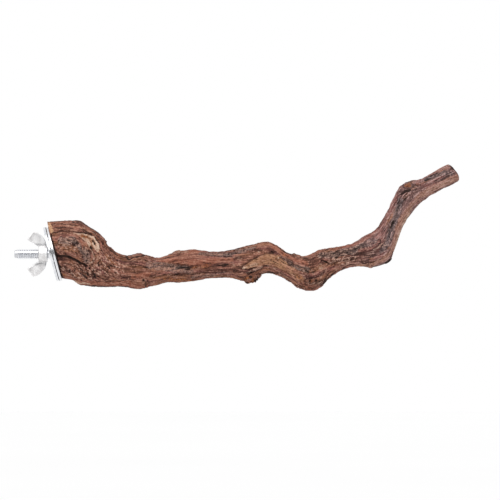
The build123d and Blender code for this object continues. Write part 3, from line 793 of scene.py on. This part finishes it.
# %% Marks on the tip
tip_strokes = [
    ("steep grey", "grey", 0.9, 0, [
        (187.9, 8.2, 1.7), (189.7, 12.6, 1.9), (191.6, 18.6, 2.1), (193.5, 24.6, 2.1), (194.2, 29.9, 1.9),
    ]),
    ("steep dark", "dark", 0.55, -0.1, [
        (188.6, 11.1, 0.9), (191.2, 18.6, 1.0), (193.3, 25.4, 1.0), (194.2, 29.9, 0.9),
    ]),
    ("steep tan", "tan", 0.9, 0.1, [
        (190.0, 2.0, 1.3), (191.5, 6.9, 1.5), (193.2, 12.8, 1.7), (195.5, 18.8, 2.1), (198.6, 23.6, 2.1),
        (201.8, 27.8, 1.6),
    ]),
    ("crook inside", "tan", 0.3, -0.25, [(198.5, 20.5, 1.6), (202.5, 25.5, 1.8)]),
    ("crook inside", "tan", 0.3, -0.5, [(200.6, 23.4, 1.6), (204.5, 28.2, 1.8)]),
    ("crook inside", "tan", 0.3, -1.15, [(201.4, 24.4, 1.6), (205.0, 28.4, 1.8), (206.4, 29.8, 1.4)]),
    ("steep pale", "pale", 0.6, 0, [
        (191.6, 3.7, 0.6), (194.2, 11.9, 0.6), (197.2, 18.6, 0.7), (201.3, 25.0, 0.7),
    ]),
    ("tip underside", "tan", 0.85, 0, [
        (202.8, 28.8, 1.3), (205.5, 31.9, 1.9), (210.0, 35.0, 2.0), (216.0, 38.0, 2.0), (221.6, 40.7, 1.9),
        (226.5, 43.0, 1.7),
    ]),
    # Partly pale bark and partly painted light along the tip's underside.
    ("tip underside pale", "pale", 0.35, 0, [
        (203.5, 29.2, 0.8), (206.0, 31.8, 1.1), (210.3, 34.8, 1.2), (216.0, 37.8, 1.2), (221.6, 40.4, 1.1),
        (225.5, 42.2, 1.0),
    ]),
    ("knot ring", "dark", 0.5, -0.4, [(197.8, 38.0, 2.4), (200.2, 38.2, 2.4)]),
    ("knot ring", "dark", 0.75, -0.2, [(196.2, 38.4, 0.5), (196.9, 36.8, 0.5), (199.4, 36.2, 0.5)]),
    ("knot ring", "dark", 0.7, -0.2, [(199.8, 40.1, 0.4), (201.6, 39.0, 0.5), (201.8, 37.3, 0.5)]),
    ("knot heart", "orange", 1.0, 0.4, [(198.2, 38.0, 1.0), (199.7, 38.4, 1.1)]),
    ("knot crack", "dark", 1.0, -0.6, [(195.2, 33.5, 0.7), (197.4, 34.8, 0.8), (200.0, 35.5, 0.6)]),
    ("knot crack", "dark", 0.5, -0.3, [(193.1, 28.4, 0.5), (194.4, 31.4, 0.5)]),
    ("tip streak", "dark", 0.9, -0.3, [(208.5, 40.9, 0.5), (209.8, 41.3, 0.6), (211.2, 41.9, 0.4)]),
    ("tip streak", "dark", 0.62, -0.2, [(211.2, 41.9, 0.4), (215.8, 44.0, 0.5), (221.0, 47.0, 0.4)]),
    ("tip streak", "dark", 0.5, -0.15, [(212.0, 44.5, 0.25), (216.0, 46.4, 0.3), (220.5, 48.4, 0.25)]),
    ("tip streak", "dark", 0.5, -0.15, [(210.5, 39.5, 0.3), (216.0, 42.0, 0.3), (222.0, 45.0, 0.3)]),
    ("tip streak", "dark", 0.45, -0.15, [(206.0, 36.6, 0.3), (211.5, 38.9, 0.3), (217.5, 41.2, 0.25)]),
    ("tip ash", "grey", 0.85, 0, [
        (208.8, 41.2, 1.0), (214.0, 43.5, 1.2), (219.5, 45.4, 1.3), (223.0, 45.6, 1.2),
    ]),
    ("tip grey", "pale", 0.25, 0, [(220.1, 43.6, 0.9), (222.2, 43.9, 1.1)]),
    ("tip red", "red", 0.5, 0, [
        (204.3, 41.1, 0.8), (210.3, 44.1, 0.8), (216.3, 47.5, 0.8), (220.8, 49.4, 0.7),
    ]),
    ("tip rim", "dark", 0.9, 0, [
        (222.7, 49.0, 0.5), (224.2, 48.3, 0.7), (225.9, 46.4, 0.4), (226.8, 44.5, 0.3),
    ]),
    ("knot blush", "red", 0.6, 0, [(203.8, 39.6, 0.9), (206.8, 39.0, 1.2), (210.0, 38.2, 0.8)]),
]
tip_dots = [
    ("knot swell", "red", 0.2, 0.8, [(199.1, 37.8, 4.5)]),
]
print(len(tip_strokes), "strokes and", len(tip_dots), "groups of dots")

# %% [markdown]
# ## Bark relief
# The bark is raised and cut in the geometry, so it shows in the outline and catches the light:
# long ridges that follow the grain, finer ridges between them, slow lumps, and a gritty crust where
# the bark is rough. The strokes and dots add their own hollows and lips. Their edges are shaken by
# noise, because nothing on a vine is ruled. The back has no such strokes, so the same finishes
# come there in patches from noise.

# %% Nearness to a stroke
def near_stroke(x, z, points):
    """How near a point is to a stroke: 1 up to half of its half width away, falling to 0 at one and
    a half. The width runs evenly from each point of the stroke to the next."""
    nearest = np.zeros_like(x)
    for (x0, z0, w0), (x1, z1, w1) in zip(points[:-1], points[1:]):
        dx, dz = x1 - x0, z1 - z0
        t = np.clip(((x - x0) * dx + (z - z0) * dz) / max(dx**2 + dz**2, 1e-9), 0, 1)
        gap = np.hypot(x - x0 - t * dx, z - z0 - t * dz)
        nearest = np.maximum(nearest, 1 - rising(gap / (w0 + (w1 - w0) * t), 0.5, 1.5))
    return nearest


# %% The marks
shake = 0.45
shake_size = 2.2

strokes = burl_strokes + trunk_strokes + bend_strokes + elbow_strokes + tip_strokes
dots = burl_dots + trunk_dots + bend_dots + elbow_dots + tip_dots
# The dark finish holds dark bark and also the painted shadows and shade among the marks.
finishes = ["red", "grey", "tan", "pale", "orange", "dark", "cut", "grain"]
amount = {finish: np.zeros(place.shape) for finish in finishes}
sunk, raised = np.zeros(place.shape), np.zeros(place.shape)
view_x = smooth_vine[..., 0] + shake * gradient_noise(smooth_vine / shake_size, 11)
view_z = smooth_vine[..., 2] + shake * gradient_noise(smooth_vine / shake_size, 12)


def leave_mark(finish, strength, height, points):
    """Add one mark: its finish wherever that is stronger than what is there already, and its height
    wherever that is deeper or higher."""
    nearness = near_stroke(view_x, view_z, points)
    amount[finish] = np.maximum(amount[finish], strength * nearness * facing)
    push = height * nearness * front
    np.minimum(sunk, push, out=sunk)
    np.maximum(raised, push, out=raised)


for _, *mark, points in strokes:
    leave_mark(*mark, points)
for _, *mark, points in dots:
    for point in points:
        leave_mark(*mark, [point, point])
print(f"marks cut {-sunk.min():.2f} mm deep and stand {raised.max():.2f} mm proud")

# %% Patches on the back
behind = 1 - 0.75 * front
patches = {
    "red": (flow / (34, 7, 7), 21, 0.05, 0.35, 0.8),
    "grey": (flow / (30, 8, 8), 22, 0.05, 0.35, 0.9),
    "tan": (flow / (26, 6, 6), 23, 0.30, 0.50, 0.8),
    "pale": (flow / (5, 2.2, 2.2), 24, 0.42, 0.70, 0.6),
    "dark": (flow / (9, 1.3, 1.3), 25, 0.34, 0.62, 0.8),
    "orange": (flow / (9, 4, 4), 26, 0.40, 0.60, 0.6),
    "grain": (flow / (18, 7, 7), 27, 0.10, 0.40, 0.8),
}
for finish, (points, seed, low, high, strength) in patches.items():
    patch = strength * rising(gradient_noise(points, seed), low, high) * behind
    amount[finish] = np.maximum(amount[finish], patch)
print("patches of", ", ".join(patches))

# %% Ridges, lumps and grit
ridge_height = 0.34
fine_ridge_height = 0.26
lump_height = 0.45
grit_height = 0.42
crack_depth = 0.15

ridges = 1 - 2 * np.abs(gradient_noise(flow / (17, 2.6, 2.6), 31))
fine_ridges = 1 - 2 * np.abs(gradient_noise(flow / (7, 1.2, 1.2), 32))
lumps = gradient_noise(smooth_vine / 9, 33)
grit = gradient_noise(smooth_vine / 1.7, 34) + 0.6 * gradient_noise(smooth_vine / 0.9, 35)
rough = 0.3 + 0.7 * np.maximum(amount["grain"], 0.7 * amount["grey"])
bare = np.clip(amount["tan"] + amount["pale"] + 0.6 * amount["red"], 0, 1)
relief = ridge_height * (ridges - 0.5) * (1 - 0.6 * bare) + fine_ridge_height * (fine_ridges - 0.5)
relief += lump_height * lumps + grit_height * grit * rough * (1 - 0.8 * bare)
# How deep the relief sinks, kept so that the finish can paint shade into the hollows.
sunk_shade = np.clip(-relief / 0.6, 0, 1)
relief += sunk + raised - crack_depth * amount["dark"]
relief *= 1 - 0.6 * rising(share, 0.985, 1.0)
print(f"relief from {relief.min():.2f} to {relief.max():.2f} mm")

# %% Push the surface out along its own normal
lengthwise = np.gradient(smooth_vine, axis=0)
crosswise = np.roll(smooth_vine, -1, axis=1) - np.roll(smooth_vine, 1, axis=1)
normal = np.cross(crosswise, lengthwise)
normal /= np.linalg.norm(normal, axis=-1, keepdims=True)
outwards = np.sum(normal * (smooth_vine - vine_middle(place)), axis=-1).mean()
normal *= np.sign(outwards)
bark = smooth_vine + normal * relief[..., None]
solid_low, solid_high = (np.array(corner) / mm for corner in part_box("branch"))
bark = np.clip(bark, solid_low, solid_high)
print("bark from", bark.min((0, 1)), "to", bark.max((0, 1)))

# %% [markdown]
# ## Sawn ends and bore
# The bark alone is an open tube. At the sawn end the surface turns in over the flat face to the
# mouth of the bolt's hole, follows the hole to its drilled point, and closes there. At the tip it
# turns in over the end grain to the pith. All of it is one grid: rings of the same count of
# points, one after the other.

# %% Rings that close the vine
mouth_radius, mouth_depth = 2.725, 5.0
pilot_radius, pilot_depth = 2.05, 29.0
face_rings, tip_rings = 14, 12
tip_roughness, tip_dish = 0.10, 0.25

edge_gap = (bark[0] - face_point) @ face_in
bark[0, :, 0] -= edge_gap / face_in[0]
tip_gap = (bark[-1] - tip_point) @ tip_out
bark[-1] -= (tip_gap / (tip_along @ tip_out))[:, None] * tip_along
bark[-1] = np.clip(bark[-1], solid_low, solid_high)

ring_y, ring_z = -np.cos(angle[0]), np.sin(angle[0])
mouth = np.stack([np.zeros(columns), mouth_radius * ring_y, mouth_radius * ring_z], axis=-1)
mouth[:, 0] = face_point[0] - mouth[:, 2] * tan(face_tilt)


def bore_ring(depth, radius):
    """A circle round the stud's axis at this depth."""
    return np.stack([np.full(columns, depth), radius * ring_y, radius * ring_z], axis=-1)


bore = np.stack([
    bore_ring(pilot_depth, pilot_radius),
    bore_ring(mouth_depth, pilot_radius),
    bore_ring(mouth_depth, mouth_radius),
])
inward = np.linspace(0, 1, face_rings + 1)[:-1, None, None]
sawn_face = mouth + (bark[0] - mouth) * inward
tip_heart = bark[-1].mean(0)
outward = np.linspace(1, 0, tip_rings + 1)[1:-1, None, None]
tip_face = tip_heart + (bark[-1] - tip_heart) * outward
tip_rough = tip_roughness * gradient_noise(tip_face / 0.8, 41)
tip_face += tip_along * (tip_rough - tip_dish * (1 - outward[..., 0]))[..., None]
drill_point = np.array([pilot_depth + pilot_radius, 0.0, 0.0])
rings = np.concatenate([bore, sawn_face, bark, tip_face])
print("rings", rings.shape)


# %% A closed tube from rings
def closed_tube(name, rings, first_pole, last_pole):
    """A mesh from rings of points: each ring is joined to the next by quads, which wrap round, and
    a fan of triangles closes each end on its pole."""
    count, around = rings.shape[:2]
    points = np.concatenate([rings.reshape(-1, 3), [first_pole, last_pole]]) * mm
    step = np.arange(around)
    base = (np.arange(count - 1) * around)[:, None]
    after = np.roll(step, -1)
    quads = np.stack([base + step, base + after, base + around + after, base + around + step], axis=-1)
    first, last = count * around, count * around + 1
    opening = np.stack([np.full(around, first), after, step], axis=-1)
    top = (count - 1) * around
    closing = np.stack([np.full(around, last), top + step, top + after], axis=-1)
    mesh = bpy.data.meshes.new(name)
    faces = quads.reshape(-1, 4).tolist() + opening.tolist() + closing.tolist()
    mesh.from_pydata(points.tolist(), [], faces)
    mesh.polygons.foreach_set("use_smooth", np.ones(len(mesh.polygons), dtype=bool))
    return mesh


def store(mesh, name, values):
    """Keep a number, or a vector, for every point of the mesh under this name."""
    vector = values.ndim == 2
    kept = mesh.attributes.new(name, "FLOAT_VECTOR" if vector else "FLOAT", "POINT")
    kept.data.foreach_set("vector" if vector else "value", values.astype(np.float32).ravel())


# %% The branch as one mesh
before, after_bark = len(bore) + len(sawn_face), len(tip_face)


def over_ends(values, end_value):
    """A finish known on the bark, carried over the end rings and the poles as one value."""
    head = np.full((before, columns), end_value)
    foot = np.full((after_bark, columns), end_value)
    return np.concatenate([np.concatenate([head, values, foot]).ravel(), [end_value, end_value]])


branch_mesh = closed_tube("branch_bark", rings, drill_point, tip_heart)
for finish in finishes:
    store(branch_mesh, finish, over_ends(amount[finish], 1.0 if finish == "cut" else 0.0))
store(branch_mesh, "hollow", over_ends(sunk_shade, 0.0))
pith = np.where(rings[..., :1] > solid_high[0] / 2, tip_heart, 0.0)
from_pith = np.linalg.norm(rings - pith, axis=-1)
store(branch_mesh, "growth", np.concatenate([from_pith.ravel(), [0.0, 0.0]]))
head_flow = np.concatenate([flow[:1]] * before)
foot_flow = np.concatenate([flow[-1:]] * after_bark)
grain_flow = np.concatenate([head_flow, flow, foot_flow]).reshape(-1, 3)
store(branch_mesh, "flow", np.concatenate([grain_flow, grain_flow[:1], grain_flow[-1:]]))
branch_mesh.set_sharp_from_angle(angle=radians(70))
branch = add_object("branch_bark", branch_mesh)
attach(branch, "perch")
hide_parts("branch")
print("branch", len(branch_mesh.vertices), "points", len(branch_mesh.polygons), "faces")

# %% [markdown]
# ## The broken twig
# Under the first bend a side twig has snapped off and left a stub with a ragged, rusty end. It is
# a ring carried along the twig's own line: the bark narrows a little to the break, the rim is
# jagged, and the end falls in to a splintered middle. Its root is buried in the vine.

# %% Broken twig
twig_place = np.array([111.2, -2.4, -11.9])
twig_length, twig_root, twig_end = 6.0, 5.4, 4.2
twig_lean, twig_forward = radians(10.0), radians(24.0)
twig_hollow = 0.9
twig_bulge = [(115.4, -11.2, 1.5), (115.6, -12.4, 1.3)]
twig_dent = [(114.8, -15.2, 1.3), (115.6, -14.4, 1.3)]
twig_rows, twig_columns, end_rows = 22, 56, 12

twig_aim = np.array([sin(twig_lean), -sin(twig_forward), -cos(twig_forward)])
twig_aim /= np.linalg.norm(twig_aim)
twig_side = np.cross(twig_aim, [0.0, 1.0, 0.0])
twig_side /= np.linalg.norm(twig_side)
twig_up = np.cross(twig_aim, twig_side)
round_twig = np.linspace(0, 2 * pi, twig_columns, endpoint=False)
along = np.linspace(-0.5, 0.5, twig_rows)[:, None]
spoke = np.cos(round_twig)[:, None] * twig_side + np.sin(round_twig)[:, None] * twig_up
radius = twig_root + (twig_end - twig_root) * (along + 0.5)
stub = twig_place + (along * twig_length)[..., None] * twig_aim + radius[..., None] * spoke
crust = 0.5 * gradient_noise(stub / 2.4, 51) + 0.3 * gradient_noise(stub / 1.1, 52)
crust += 0.9 * near_stroke(stub[..., 0], stub[..., 2], twig_bulge)
crust -= 0.7 * near_stroke(stub[..., 0], stub[..., 2], twig_dent)
jag = 0.9 * gradient_noise(stub[-1:] / 1.8, 53) * rising(along, 0.1, 0.5)
stub += crust[..., None] * spoke + jag[..., None] * twig_aim
inset = np.linspace(1, 0, end_rows + 1)[1:-1, None]
end_middle = stub[-1].mean(0)
broken = end_middle + (stub[-1] - end_middle) * inset[..., None]
splinter = 0.7 * gradient_noise(broken / 1.3, 54) - twig_hollow * (1 - inset)
broken += splinter[..., None] * twig_aim
twig_rings = np.concatenate([stub, broken])
twig_rings[..., 2] = np.maximum(twig_rings[..., 2], solid_low[2])
root_middle = stub[0].mean(0)
twig_mesh = closed_tube("broken_twig", twig_rings, root_middle, end_middle - twig_hollow * twig_aim)
twig = add_object("broken_twig", twig_mesh)
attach(twig, "perch")
print("twig", len(twig_mesh.polygons), "faces")

# %% Marks on the twig
twig_rust = [(108.4, -14.6, 1.5), (111.2, -14.8, 1.7)]
twig_burns = [
    [(110.5, -12.7, 0.8), (111.2, -12.9, 0.7)],
    [(113.2, -15.0, 0.6), (115.6, -14.0, 0.7)],
    [(108.3, -15.5, 0.5), (109.3, -16.1, 0.6)],
]

twig_points = np.concatenate([twig_rings.reshape(-1, 3), [root_middle, end_middle]])
on_end = np.concatenate([np.zeros(stub.shape[:2]), np.ones(broken.shape[:2])]).ravel()
on_end = np.concatenate([on_end, [0.0, 1.0]])
pitted = rising(gradient_noise(twig_points / 1.5, 55), 0.05, 0.4)
for finish in ["red", "grey", "tan", "pale", "cut"]:
    store(twig_mesh, finish, 0.0 * on_end)
twig_x, twig_z = twig_points[:, 0], twig_points[:, 2]
burnt = np.max([near_stroke(twig_x, twig_z, points) for points in twig_burns], axis=0)
rusty = near_stroke(twig_x, twig_z, twig_rust)
store(twig_mesh, "orange", np.maximum(rusty, 0.9 * on_end * (1 - rising(twig_x, 111.0, 113.5))))
store(twig_mesh, "dark", np.maximum(0.9 * pitted * (0.4 + 0.6 * on_end), burnt))
store(twig_mesh, "grain", 0.5 + 0.0 * on_end)
store(twig_mesh, "hollow", 0.5 * pitted)
store(twig_mesh, "flow", twig_points)
print(f"burnt on {burnt.mean():.0%} of the twig's points")

# %% [markdown]
# ## Bark finish
# Old vine bark is a mix of umber and russet that runs in streaks along the grain, dusty pink on
# worn ridges and nearly black in the cracks, where painted shade also darkens the hollows of the
# relief. The finishes stored on the surface say where it turns red, grey with lichen, bare or
# rusty, and the dark finish also carries painted shadow. Fine noise breaks every edge and gives
# each finish its own grain, so nothing is one flat colour. Towards the tip the bark is younger,
# greyer and pinker, and sawn wood shows its year rings.

# %% Bark patterns
bark_finish, g = new_finish("vine_bark")
grain_line = g.node("ShaderNodeAttribute", {"attribute_name": "flow"}, output="Vector")
spot = g.millimetres()
broad = g.noise(grain_line, (0.05, 0.30, 0.30), detail=5.0)
streak = g.noise(grain_line, (0.11, 0.85, 0.85), detail=5.0, roughness=0.65)
fibre = g.noise(grain_line, (0.22, 1.3, 1.3), detail=4.0, roughness=0.7)
thread = g.noise(grain_line, (0.07, 1.5, 1.5), detail=3.0)
crumb = g.noise(spot, (0.55, 0.55, 0.55), detail=4.0, roughness=0.7)
speck = g.noise(spot, (1.1, 1.1, 1.1), detail=2.0)
crust_line = g.stretch(grain_line, (0.75, 1.3, 1.3))
crust_gap = g.node("ShaderNodeTexVoronoi", sockets={"Vector": crust_line, "Scale": 1.0})
crust_cell = Wire(g, crust_gap.socket.node.outputs["Color"])
crust_tone = g.node("ShaderNodeSeparateColor", sockets={0: crust_cell})
along_x = g.node("ShaderNodeSeparateXYZ", sockets={0: spot}, output="X")
youth = g.band(along_x + (broad - 0.5) * 30.0, 158.0, 186.0)
print("bark patterns use", len(bark_finish.node_tree.nodes), "nodes")


# %% Bark colours, dark and light
def aged(old, young):
    """A colour that goes from the old bark's to the young bark's on the way to the tip."""
    return g.blend(youth, paint(*old), paint(*young))


brown_bark = aged((80, 48, 38), (80, 57, 55)), aged((156, 104, 86), (152, 115, 110))
crimson_bark = paint(84, 47, 44), paint(160, 102, 94)
ochre_bark = paint(88, 53, 35), paint(172, 116, 84)
lichen_ash = aged((80, 63, 58), (78, 66, 67)), aged((142, 121, 114), (138, 122, 122))
red_bark = aged((126, 72, 56), (116, 70, 66)), aged((180, 116, 93), (170, 119, 111))
bare_wood = aged((138, 92, 68), (140, 98, 84)), aged((190, 142, 108), (193, 144, 125))
rust = paint(106, 56, 28), paint(194, 116, 54)
pale_wood = paint(176, 134, 110), paint(242, 213, 190)
sawn_wood = paint(168, 122, 90), paint(216, 172, 136)
rosy_ridge, dusty_ridge = aged((188, 139, 120), (198, 160, 152)), paint(204, 164, 146)
# Near black, for the dark specks of the bark and for painted shade.
black_specks_and_shade = paint(28, 17, 13)

# %% Bark colours in layers
ragged = (crumb - 0.5) * 0.9
tone = g.band(broad * 0.6 + streak * 0.4, 0.40, 0.585)
hue = g.noise(grain_line, (0.035, 0.45, 0.45), detail=3.0)
colour = g.blend(tone, *brown_bark)
colour = g.blend(g.band(hue, 0.52, 0.62) * 0.7, colour, g.blend(tone, *crimson_bark))
colour = g.blend(g.band(hue, 0.48, 0.38) * 0.7, colour, g.blend(tone, *ochre_bark))
layers = [
    ("grey", 0.25, 0.85, 0.7, g.band(crumb, 0.42, 0.58), lichen_ash),
    ("red", 0.15, 0.85, 0.8, g.band(fibre * 0.6 + streak * 0.4, 0.38, 0.62), red_bark),
    ("tan", 0.25, 0.75, 0.92, g.band(fibre * 0.6 + crumb * 0.4, 0.38, 0.62), bare_wood),
    ("orange", 0.25, 0.8, 0.8, g.band(crumb, 0.40, 0.62), rust),
    ("pale", 0.2, 0.95, 0.95, g.band(fibre * 0.5 + crumb * 0.5, 0.36, 0.62), pale_wood),
]
for finish, low, high, cover, lightness, dark_and_light in layers:
    mask = g.band(g.painted(finish) + ragged, low, high) * cover
    colour = g.blend(mask, colour, g.blend(lightness, *dark_and_light))
year_ring = g.node("ShaderNodeMath", {"operation": "SINE"}, {0: g.painted("growth") * 8.0 + crumb * 5.0})
sawn = g.blend(g.band(crumb * 0.5 + speck * 0.4 + year_ring * 0.06, 0.34, 0.56), *sawn_wood)
colour = g.blend(g.band(g.painted("cut") + ragged * 0.4, 0.3, 0.7), colour, sawn)
print(len(layers), "finishes lie over the bark")

# %% Worn ridges, black cracks and painted shade in the hollows
calming = {"red": 0.15, "tan": 0.15, "pale": 0.25, "orange": 0.45}

grains = crust_tone * 0.45 - crust_gap * 0.45 + 0.5
crusty = fibre * 0.3 + crumb * 0.2 + speck * 0.2 + grains * 0.3
stringy = thread * 0.35 + streak * 0.1 + fibre * 0.25 + crumb * 0.1 + speck * 0.2
crusted = g.band(g.painted("grain") + ragged * 0.5, 0.2, 0.8)
mottle = stringy + (crusty - stringy) * crusted * 0.8
calm = 1.0 - sum(g.painted(finish) * less for finish, less in calming.items())
mottled = (0.93 + crusted * 0.07) * (1.0 - g.painted("cut")) * calm
worn_ridge = g.blend(crusted, rosy_ridge, dusty_ridge)
colour = g.blend(g.band(mottle, 0.51, 0.575) * mottled, colour, worn_ridge)
colour = g.blend(g.band(mottle, 0.488, 0.402) * mottled, colour, black_specks_and_shade)
# Painted shade: the dark finish and the hollows of the relief are blended towards near black; on the twig
# the same number marks its pits.
shade = g.painted("dark") + g.band(g.painted("hollow"), 0.3, 0.95) * 0.6 + ragged * 0.9
colour = g.blend(g.band(shade, 0.25, 1.0) * 0.92, colour, black_specks_and_shade)

height = fibre * 0.5 + crumb * 0.5 + speck * 0.3
bump = g.node("ShaderNodeBump", sockets={"Strength": 0.55, "Distance": 0.0006, "Height": height})
rough_bark = 0.95 - g.band(fibre, 0.4, 0.7) * 0.2
surface = {"Base Color": colour, "Roughness": rough_bark, "Normal": bump, "Specular IOR Level": 0.25}
g.surface(g.node("ShaderNodeBsdfPrincipled", sockets=surface))
for mesh in (branch_mesh, twig_mesh):
    mesh.materials.append(bark_finish)
print("bark finish has", len(bark_finish.node_tree.nodes), "nodes")

# %% [markdown]
# ## Plated hardware
# The bolt, washers and nut are steel and die-cast metal with a bright zinc plate: pale, a little
# cloudy, and polished on the edges that rub. The solids already have their threads and rounded
# rims, so only the finish is made. The roots of the thread, which are simply the points nearest
# the stud's axis, are darkened with painted shade and some dirt. Painted shadow marks the seam
# between the washers, and painted shade the feet of the wings.

# %% Plated metal
thread_root, thread_crest = 2.42, 2.75
rim_start, rim_full = 14.6, 15.1
wing_foot, wing_foot_end = 4.7, 6.6
# Painted shade colours: the thread's roots, partly dirt as well, the seam between the washers and the feet
# of the wings.
thread_dirt_and_shade, seam_shadow, wing_root_shade = paint(84, 88, 96), paint(52, 53, 58), paint(112, 114, 118)


def plated(name, bright, dull, rough_low, rough_high, thread=False, seam=False, roots=False):
    """A zinc-plated finish: cloudy brightness, fine brushing and, on a thread, painted shade with some
    dirt in the roots. A seam is painted shadow round the edge between two washers: points near the
    clamping plane and far from its middle, in broken dashes. Roots are the feet of the wings, just
    outside the hub, darkened with painted shade in the corners there."""
    finish, g = new_finish(name)
    spot = g.millimetres()
    clouds = g.noise(spot, (0.35, 0.35, 0.35), detail=3.0)
    brushed = g.noise(spot, (3.0, 0.5, 3.0), detail=3.0)
    spangle = g.noise(spot, (1.6, 1.6, 1.6), detail=2.0)
    wear = clouds * 0.5 + spangle * 0.3 + brushed * 0.2
    colour = g.blend(g.band(wear, 0.36, 0.60), dull, bright)
    rough = rough_low + g.band(clouds * 0.6 + brushed * 0.4, 0.35, 0.65) * (rough_high - rough_low)
    flat = g.stretch(spot, (0.0, 1.0, 1.0))
    radius = g.node("ShaderNodeVectorMath", {"operation": "LENGTH"}, {0: flat}, output="Value")
    if thread:
        # Painted shade with some dirt: the thread's roots are darkened.
        dirt_and_shade = 1.0 - g.band(radius + (spangle - 0.5) * 0.3, thread_root, thread_crest)
        colour = g.blend(dirt_and_shade * 0.34, colour, thread_dirt_and_shade)
        rough = rough + dirt_and_shade * 0.1
    if seam:
        squeezed = {0: spot, 1: face_in.tolist()}
        side = g.node("ShaderNodeVectorMath", {"operation": "DOT_PRODUCT"}, squeezed, output="Value")
        gap = g.node("ShaderNodeMath", {"operation": "ABSOLUTE"}, {0: side})
        reach = g.node("ShaderNodeVectorMath", {"operation": "LENGTH"}, {0: spot}, output="Value")
        rim = g.band(reach + (spangle - 0.5) * 0.6, rim_start, rim_full)
        # Painted shadow: broken dark dashes round the rims where the two washers meet.
        seam_shade = (1.0 - g.band(gap, 0.12, 0.34)) * g.band(clouds, 0.40, 0.52) * rim
        colour = g.blend(seam_shade * 0.9, colour, seam_shadow)
        rough = rough + seam_shade * 0.3
    if roots:
        # Painted shade: the feet of the wings, where they meet the hub, are darkened in patches.
        outside_foot = g.band(radius + (clouds - 0.5) * 3.0, wing_foot + 0.5, wing_foot_end)
        foot = g.band(radius, wing_foot, wing_foot + 0.3) * (1.0 - outside_foot)
        colour = g.blend(foot * g.band(spangle, 0.38, 0.56) * 0.6, colour, wing_root_shade)
    height = brushed * 0.6 + spangle * 0.4
    bump = g.node("ShaderNodeBump", sockets={"Strength": 0.12, "Distance": 0.0002, "Height": height})
    surface = {"Base Color": colour, "Metallic": 1.0, "Roughness": rough, "Normal": bump}
    g.surface(g.node("ShaderNodeBsdfPrincipled", sockets=surface))
    return finish


bolt_plate = plated("bright_bolt", paint(250, 250, 252), paint(236, 238, 242), 0.10, 0.20, thread=True)
washer_plate = plated("bright_washer", paint(240, 241, 244), paint(208, 211, 216), 0.18, 0.32, seam=True)
nut_plate = plated("satin_nut", paint(242, 241, 241), paint(216, 214, 214), 0.44, 0.56, roots=True)
plates = {
    "hanger_bolt": bolt_plate,
    "inner_washer": washer_plate,
    "outer_washer": washer_plate,
    "wing_nut": nut_plate,
}
for node, plate in plates.items():
    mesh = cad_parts[node].data
    mesh.materials.clear()
    mesh.materials.append(plate)
print("plated", ", ".join(plates))
